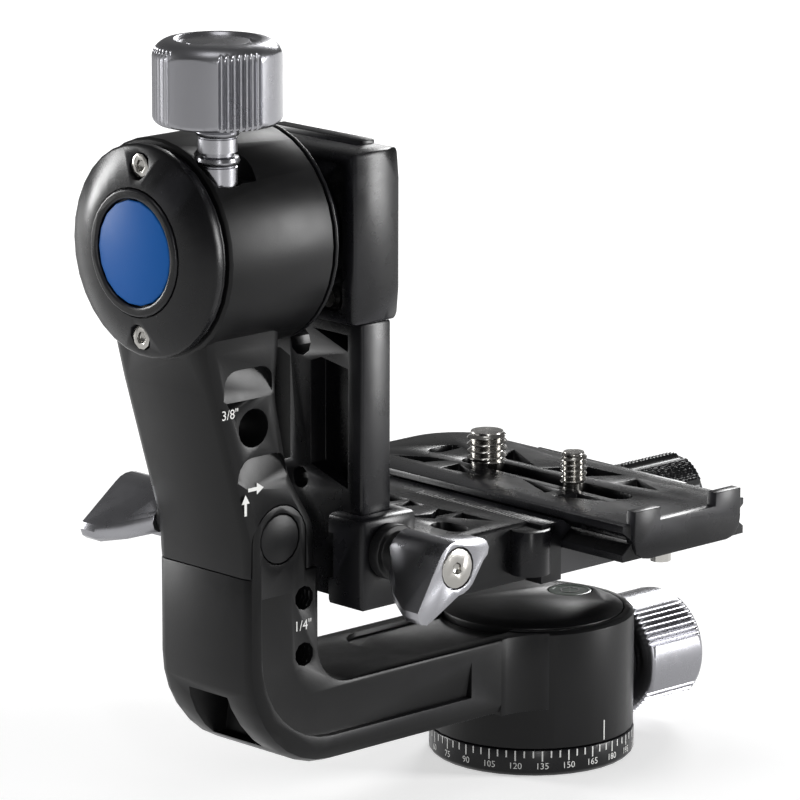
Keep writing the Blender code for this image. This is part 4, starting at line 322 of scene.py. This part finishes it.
def grid_turned(name, place, rows, sides, finish, body, stands_for=(), closed=True):
    """A turned form whose radius may change round its axis; rows are (height, radius function)."""
    edit = bmesh.new()
    rings = []
    for height, radius_at in rows:
        ring = []
        for step in range(sides):
            angle = 2 * pi * step / sides
            radius = radius_at(angle)
            corner = Vector((radius * cos(angle), radius * sin(angle), height))
            ring.append(edit.verts.new(place @ corner))
        rings.append(ring)
    for low, high in zip(rings, rings[1:]):
        for step in range(sides):
            after = (step + 1) % sides
            edit.faces.new((low[step], low[after], high[after], high[step]))
    if closed:
        edit.faces.new(rings[0])
        edit.faces.new(rings[-1])
    bmesh.ops.recalc_face_normals(edit, faces=edit.faces)
    mesh = bpy.data.meshes.new(name)
    edit.to_mesh(mesh)
    edit.free()
    mesh.materials.append(finish)
    piece = bpy.data.objects.new(name, mesh)
    scene.collection.objects.link(piece)
    bpy.ops.object.select_all(action="DESELECT")
    bpy.context.view_layer.objects.active = piece
    piece.select_set(True)
    bpy.ops.object.shade_smooth_by_angle(angle=radians(38))
    if stands_for:
        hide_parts(*stands_for)
    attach(piece, body)
    return piece


def knob_section_radius(angle, turn):
    """Radius of the knob's section: plain faces at turn and every quarter, flutes between."""
    off = (angle - turn + pi / 4) % (pi / 2) - pi / 4
    if abs(off) < half_plain:
        return plain_radius + plain_bulge * (off / half_plain) ** 2
    share = ((abs(off) - half_plain) / flute_pitch) % 1 if abs(off) < pi / 4 else 0.5
    across = 2 * share - 1
    return knob_radius - flute_depth * sqrt(max(0, 1 - flute_fullness * across * across))


def knob_rows(length, turn):
    """Rows of a lock knob from its foot to the dish in its top."""
    rows = [(0, lambda angle: 11.3 * mm)]
    for step in range(1, foot_steps + 1):
        share = step / foot_steps
        blank = foot_radius + (knob_radius - foot_radius) * sqrt(1 - (1 - share) ** 2)
        rows.append((foot_height * share,
                     lambda angle, blank=blank: min(blank, knob_section_radius(angle, turn))))
    for step in range(1, shaft_steps + 1):
        height = foot_height + (length - foot_height - crown_height) * step / shaft_steps
        rows.append((height, lambda angle: knob_section_radius(angle, turn)))
    for step in range(1, crown_steps + 1):
        share = step / crown_steps
        blank = crown_radius + (knob_radius - crown_radius) * sqrt(max(0, 1 - share ** 2))
        rows.append((length - crown_height + crown_height * share,
                     lambda angle, blank=blank: min(blank, knob_section_radius(angle, turn))))
    for radius, drop in dish:
        rows.append((length - drop * mm, lambda angle, radius=radius: radius * mm))
    return rows


def along_x(x, y, z):
    """Places a form's own height along +X."""
    return Matrix.Translation((x, y, z)) @ Matrix.Rotation(pi / 2, 4, "Y")


knob = grid_turned("tilt_lock_knob_fluted", Matrix.Translation((tilt_lock_x, tilt_lock_y, 162.02 * mm)),
                   knob_rows(18.15 * mm, radians(205)), knob_sides, silver, "tilt_knob",
                   ("tilt_lock_knob",))
box_low, box_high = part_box("pan_lock_knob")
knob = grid_turned("pan_lock_knob_fluted", along_x(box_low[0] + knob_gap, 0, 16.8 * mm),
                   knob_rows(box_high[0] - box_low[0] - 2 * knob_gap, radians(184)), knob_sides, silver,
                   "pan_knob", ("pan_lock_knob",))


# Stem of the tilt lock
# Turned aluminium, clear anodised: two round bands, a groove under each, and a neck between them.

# Radius and height in millimetres.
stem_profile = [(4.2, 140), (4.2, 152.8), (3.9, 153.0), (3.9, 153.2), (4.5, 153.6), (4.75, 154.2),
                (4.5, 154.9), (3.4, 155.2), (3.4, 156.0), (4.2, 156.1), (4.2, 159.0), (3.9, 159.1),
                (3.9, 159.3), (4.5, 159.7), (4.75, 160.3), (4.5, 161.0), (4.2, 161.3), (3.6, 161.4),
                (3.6, 161.9), (0.05, 161.9)]
stem_rows = [(height * mm, lambda angle, radius=radius: radius * mm)
             for radius, height in stem_profile]
stem = grid_turned("tilt_lock_stem_bands", Matrix.Translation((tilt_lock_x, tilt_lock_y, 0)), stem_rows,
                   72, silver, "tilt_knob", ("tilt_lock_stem",))


# Clamp knob of the camera plate
# Turned aluminium, black anodised: diamond knurling, and six smooth lengthwise scoops. The knurl is cut
# at a pitch of about a millimetre, coarse enough to show.

land_radius = 9.35 * mm
scoop_depth = 0.9 * mm
scoop_half = radians(11)
first_scoop = radians(131)
knurl_root = 9.05 * mm
knurl_height = 0.3 * mm
knurl_pitch = 1.15 * mm
knurl_start = 2.4 * mm
knurl_end = 1.2 * mm
knurl_steps = 54


def clamp_radius(angle, along):
    """Radius of the knurled knob: sunk in the scoops, ridged both ways on the lands."""
    off = (angle - first_scoop + pi / 6) % (pi / 3) - pi / 6
    if abs(off) < scoop_half:
        return land_radius - scoop_depth * cos(off / scoop_half * pi / 2)
    ridge_a = abs(((angle * land_radius + along) / knurl_pitch) % 1 - 0.5) * 2
    ridge_b = abs(((angle * land_radius - along) / knurl_pitch) % 1 - 0.5) * 2
    return knurl_root + knurl_height * min(ridge_a, ridge_b)


low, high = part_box("plate_clamp_knob")
length = high[0] - low[0]
rows = [(0, lambda angle: 8.2 * mm), (0.6 * mm, lambda angle: 8.9 * mm),
        (knurl_start, lambda angle: 9.0 * mm)]
for step in range(1, knurl_steps + 1):
    along = knurl_start + (length - knurl_start - knurl_end) * step / knurl_steps
    rows.append((along, lambda angle, along=along: clamp_radius(angle, along)))
rows += [(length - 0.8 * mm, lambda angle: 8.6 * mm), (length - 0.05 * mm, lambda angle: 7.8 * mm),
         (length - 0.05 * mm, lambda angle: 5.4 * mm), (length - 0.9 * mm, lambda angle: 5.1 * mm),
         (length - 0.9 * mm, lambda angle: 0.05 * mm)]
grid_turned("plate_clamp_knob_knurled", along_x(low[0], (low[1] + high[1]) / 2, (low[2] + high[2]) / 2),
            rows, knob_sides, anodised_black, "clamp_knob", ("plate_clamp_knob",))


# Camera studs and threaded holes
# Plated steel studs with a cut thread and a chamfered top, and the thread turns inside the lower arm's
# two small holes.

thread_low = 65.6 * mm
stud_gap = 0.02 * mm
stud_chamfer = 1.2 * mm
thread_share = 0.6


def thread_rows(low, high, radius, pitch, depth):
    """Rows of a helical thread between two heights."""
    count = int((high - low) / (pitch / 8))
    rows = []
    for step in range(count + 1):
        height = low + (high - low) * step / count
        ends = min(1, (high - height) / (0.7 * pitch), (height - low) / (0.3 * pitch) + 0.2)

        def radius_at(angle, height=height, ends=ends):
            ridge = 1 - abs(((height / pitch - angle / (2 * pi)) % 1) - 0.5) * 2
            return radius - depth + ends * depth * ridge

        rows.append((height, radius_at))
    return rows


for node, body, radius, pitch in (("stud_three_eighths", "big_stud", 4.7 * mm, 1.5875 * mm),
                                  ("stud_quarter", "small_stud", 3.12 * mm, 1.27 * mm)):
    low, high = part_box(node)
    centre = Matrix.Translation(((low[0] + high[0]) / 2, (low[1] + high[1]) / 2, 0))
    depth = thread_share * pitch
    shank = radius - depth
    foot = low[2] + stud_gap
    top = high[2] - stud_gap
    rows = [(foot, lambda angle: 0.05 * mm), (foot, lambda angle, shank=shank: shank)]
    rows += thread_rows(thread_low, top, radius, pitch, depth)
    rows.append((top, lambda angle, radius=radius: radius - stud_chamfer))
    rows.append((top, lambda angle: 0.05 * mm))
    stud = grid_turned(node + "_thread", centre, rows, 64, steel, body, (node,))

for name, x, z in (("arm_thread_upper", -85.6, 54.7), ("arm_thread_lower", -85.5, 42.0)):
    rows = [(-height, radius_at) for height, radius_at in
            thread_rows(0.3 * mm, 4 * mm, 2.95 * mm, 1.27 * mm, 0.5 * mm)]
    turn = Matrix.Translation((x * mm, -15.5 * mm, z * mm)) @ Matrix.Rotation(pi / 2, 4, "X")
    grid_turned(name, turn, rows, 48, anodised_black, "arm", (), False)


# Marks
# White ink, printed flat on the finished pieces: the dial's ticks and numbers, the index line, the
# scale of the plate, the two thread labels and the two arrows.

dial_radius = 23.73 * mm
dial_start = 96.3
tick_top = 6.1 * mm
long_tick = 2.4 * mm
short_tick = 1.6 * mm
tick_half_width = 0.17 * mm
index_radius = 23.53 * mm
side_ink_y = -15.54 * mm
# Corners as x and z in millimetres.
up_arrow = [(-103.0, 75.9), (-102.3, 75.9), (-102.3, 78.6), (-101.5, 78.6), (-102.65, 80.6),
            (-103.8, 78.6), (-103.0, 78.6)]
right_arrow = [(-101.9, 81.1), (-99.4, 81.1), (-99.4, 80.2), (-97.4, 81.5), (-99.4, 82.8), (-99.4, 81.9),
               (-101.9, 81.9)]
# The index line's corners as y's side offset and z in millimetres.
index_corners = ((-0.16, 7.0), (0.16, 7.0), (0.16, 11.6), (-0.16, 11.6))


def flat_mark(edit, corners):
    """One flat printed shape from its corners."""
    edit.faces.new([edit.verts.new(corner) for corner in corners])


def finish_mark(name, edit, body):
    """Turns the drawn shapes into one printed piece."""
    mesh = bpy.data.meshes.new(name)
    edit.to_mesh(mesh)
    edit.free()
    mesh.materials.append(white_print)
    piece = bpy.data.objects.new(name, mesh)
    scene.collection.objects.link(piece)
    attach(piece, body)


def text_mesh(words, size):
    """The flat mesh of a word, centred."""
    curve = bpy.data.curves.new("label", "FONT")
    curve.body = words
    curve.size = size
    curve.align_x = "CENTER"
    curve.align_y = "CENTER"
    curve.resolution_u = 3
    holder = bpy.data.objects.new("label", curve)
    scene.collection.objects.link(holder)
    mesh = bpy.data.meshes.new_from_object(holder)
    bpy.data.objects.remove(holder)
    return mesh


def side_word(edit, words, size, x, z):
    """A word printed flat on the arm's side."""
    mesh = text_mesh(words, size)
    for vertex in mesh.vertices:
        vertex.co = (x + vertex.co.x, side_ink_y, z + vertex.co.y)
    edit.from_mesh(mesh)


dial = bmesh.new()
for step in range(72):
    angle = radians(dial_start + 5 * step)
    low_z = tick_top - (long_tick if step % 3 == 0 else short_tick)
    half = tick_half_width / dial_radius
    tick = []
    for side, height in ((-1, low_z), (1, low_z), (1, tick_top), (-1, tick_top)):
        turn = angle + side * half
        tick.append((dial_radius * cos(turn), dial_radius * sin(turn), height))
    flat_mark(dial, tick)
for step in range(24):
    mesh = text_mesh(str(15 * step), 2.1 * mm)
    angle = radians(dial_start + 15 * step)
    for vertex in mesh.vertices:
        turn = angle + vertex.co.x / dial_radius
        vertex.co = (dial_radius * cos(turn), dial_radius * sin(turn), 2.5 * mm + vertex.co.y)
    dial.from_mesh(mesh)
finish_mark("dial_marks", dial, "base")

index = bmesh.new()
flat_mark(index, [(side * mm, -sqrt(index_radius ** 2 - (side * mm) ** 2), height * mm)
                  for side, height in index_corners])
finish_mark("index_mark", index, "arm")

labels = bmesh.new()
side_word(labels, "1/4\"", 3.2 * mm, -86 * mm, 48.5 * mm)
finish_mark("small_thread_label", labels, "arm")

labels = bmesh.new()
side_word(labels, "3/8\"", 3.0 * mm, -107.0 * mm, 98.9 * mm)
for arrow in (up_arrow, right_arrow):
    flat_mark(labels, [(x * mm, side_ink_y, z * mm) for x, z in arrow])
finish_mark("upper_arm_marks", labels, "upper")

scale = bmesh.new()
for step in range(36):
    y = (11.7 - step) * mm
    reach = 2.6 if step % 10 == 0 else (2.0 if step % 5 == 0 else 1.4)
    flat_mark(scale, [(x * mm, y + side * 0.09 * mm, 63.03 * mm) for x, side in
                      ((-25.8, -1), (-25.8 + reach, -1), (-25.8 + reach, 1), (-25.8, 1))])
finish_mark("plate_scale", scale, "carriage")


# Bubble level
# A round vial set flush in the pan cap, with a black centre ring printed on its window.

low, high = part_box("bubble_level")
centre = Matrix.Translation(((low[0] + high[0]) / 2, (low[1] + high[1]) / 2, 0))
top = high[2]
rows = [(top - 0.6 * mm, lambda angle: 4.95 * mm), (top - 0.05 * mm, lambda angle: 4.95 * mm),
        (top, lambda angle: 4.8 * mm), (top, lambda angle: 4.3 * mm),
        (top - 0.15 * mm, lambda angle: 4.15 * mm),
        (top - 0.1 * mm, lambda angle: 2.0 * mm), (top - 0.08 * mm, lambda angle: 0.05 * mm)]
level = grid_turned("bubble_level_vial", centre, rows, 72, level_green, "arm", ("bubble_level",))
rows = [(top - 0.12 * mm, lambda angle: 2.35 * mm), (top - 0.01 * mm, lambda angle: 2.3 * mm),
        (top - 0.01 * mm, lambda angle: 1.95 * mm), (top - 0.12 * mm, lambda angle: 1.9 * mm)]
grid_turned("bubble_level_ring", centre, rows, 60, black_nylon, "arm", (), False)
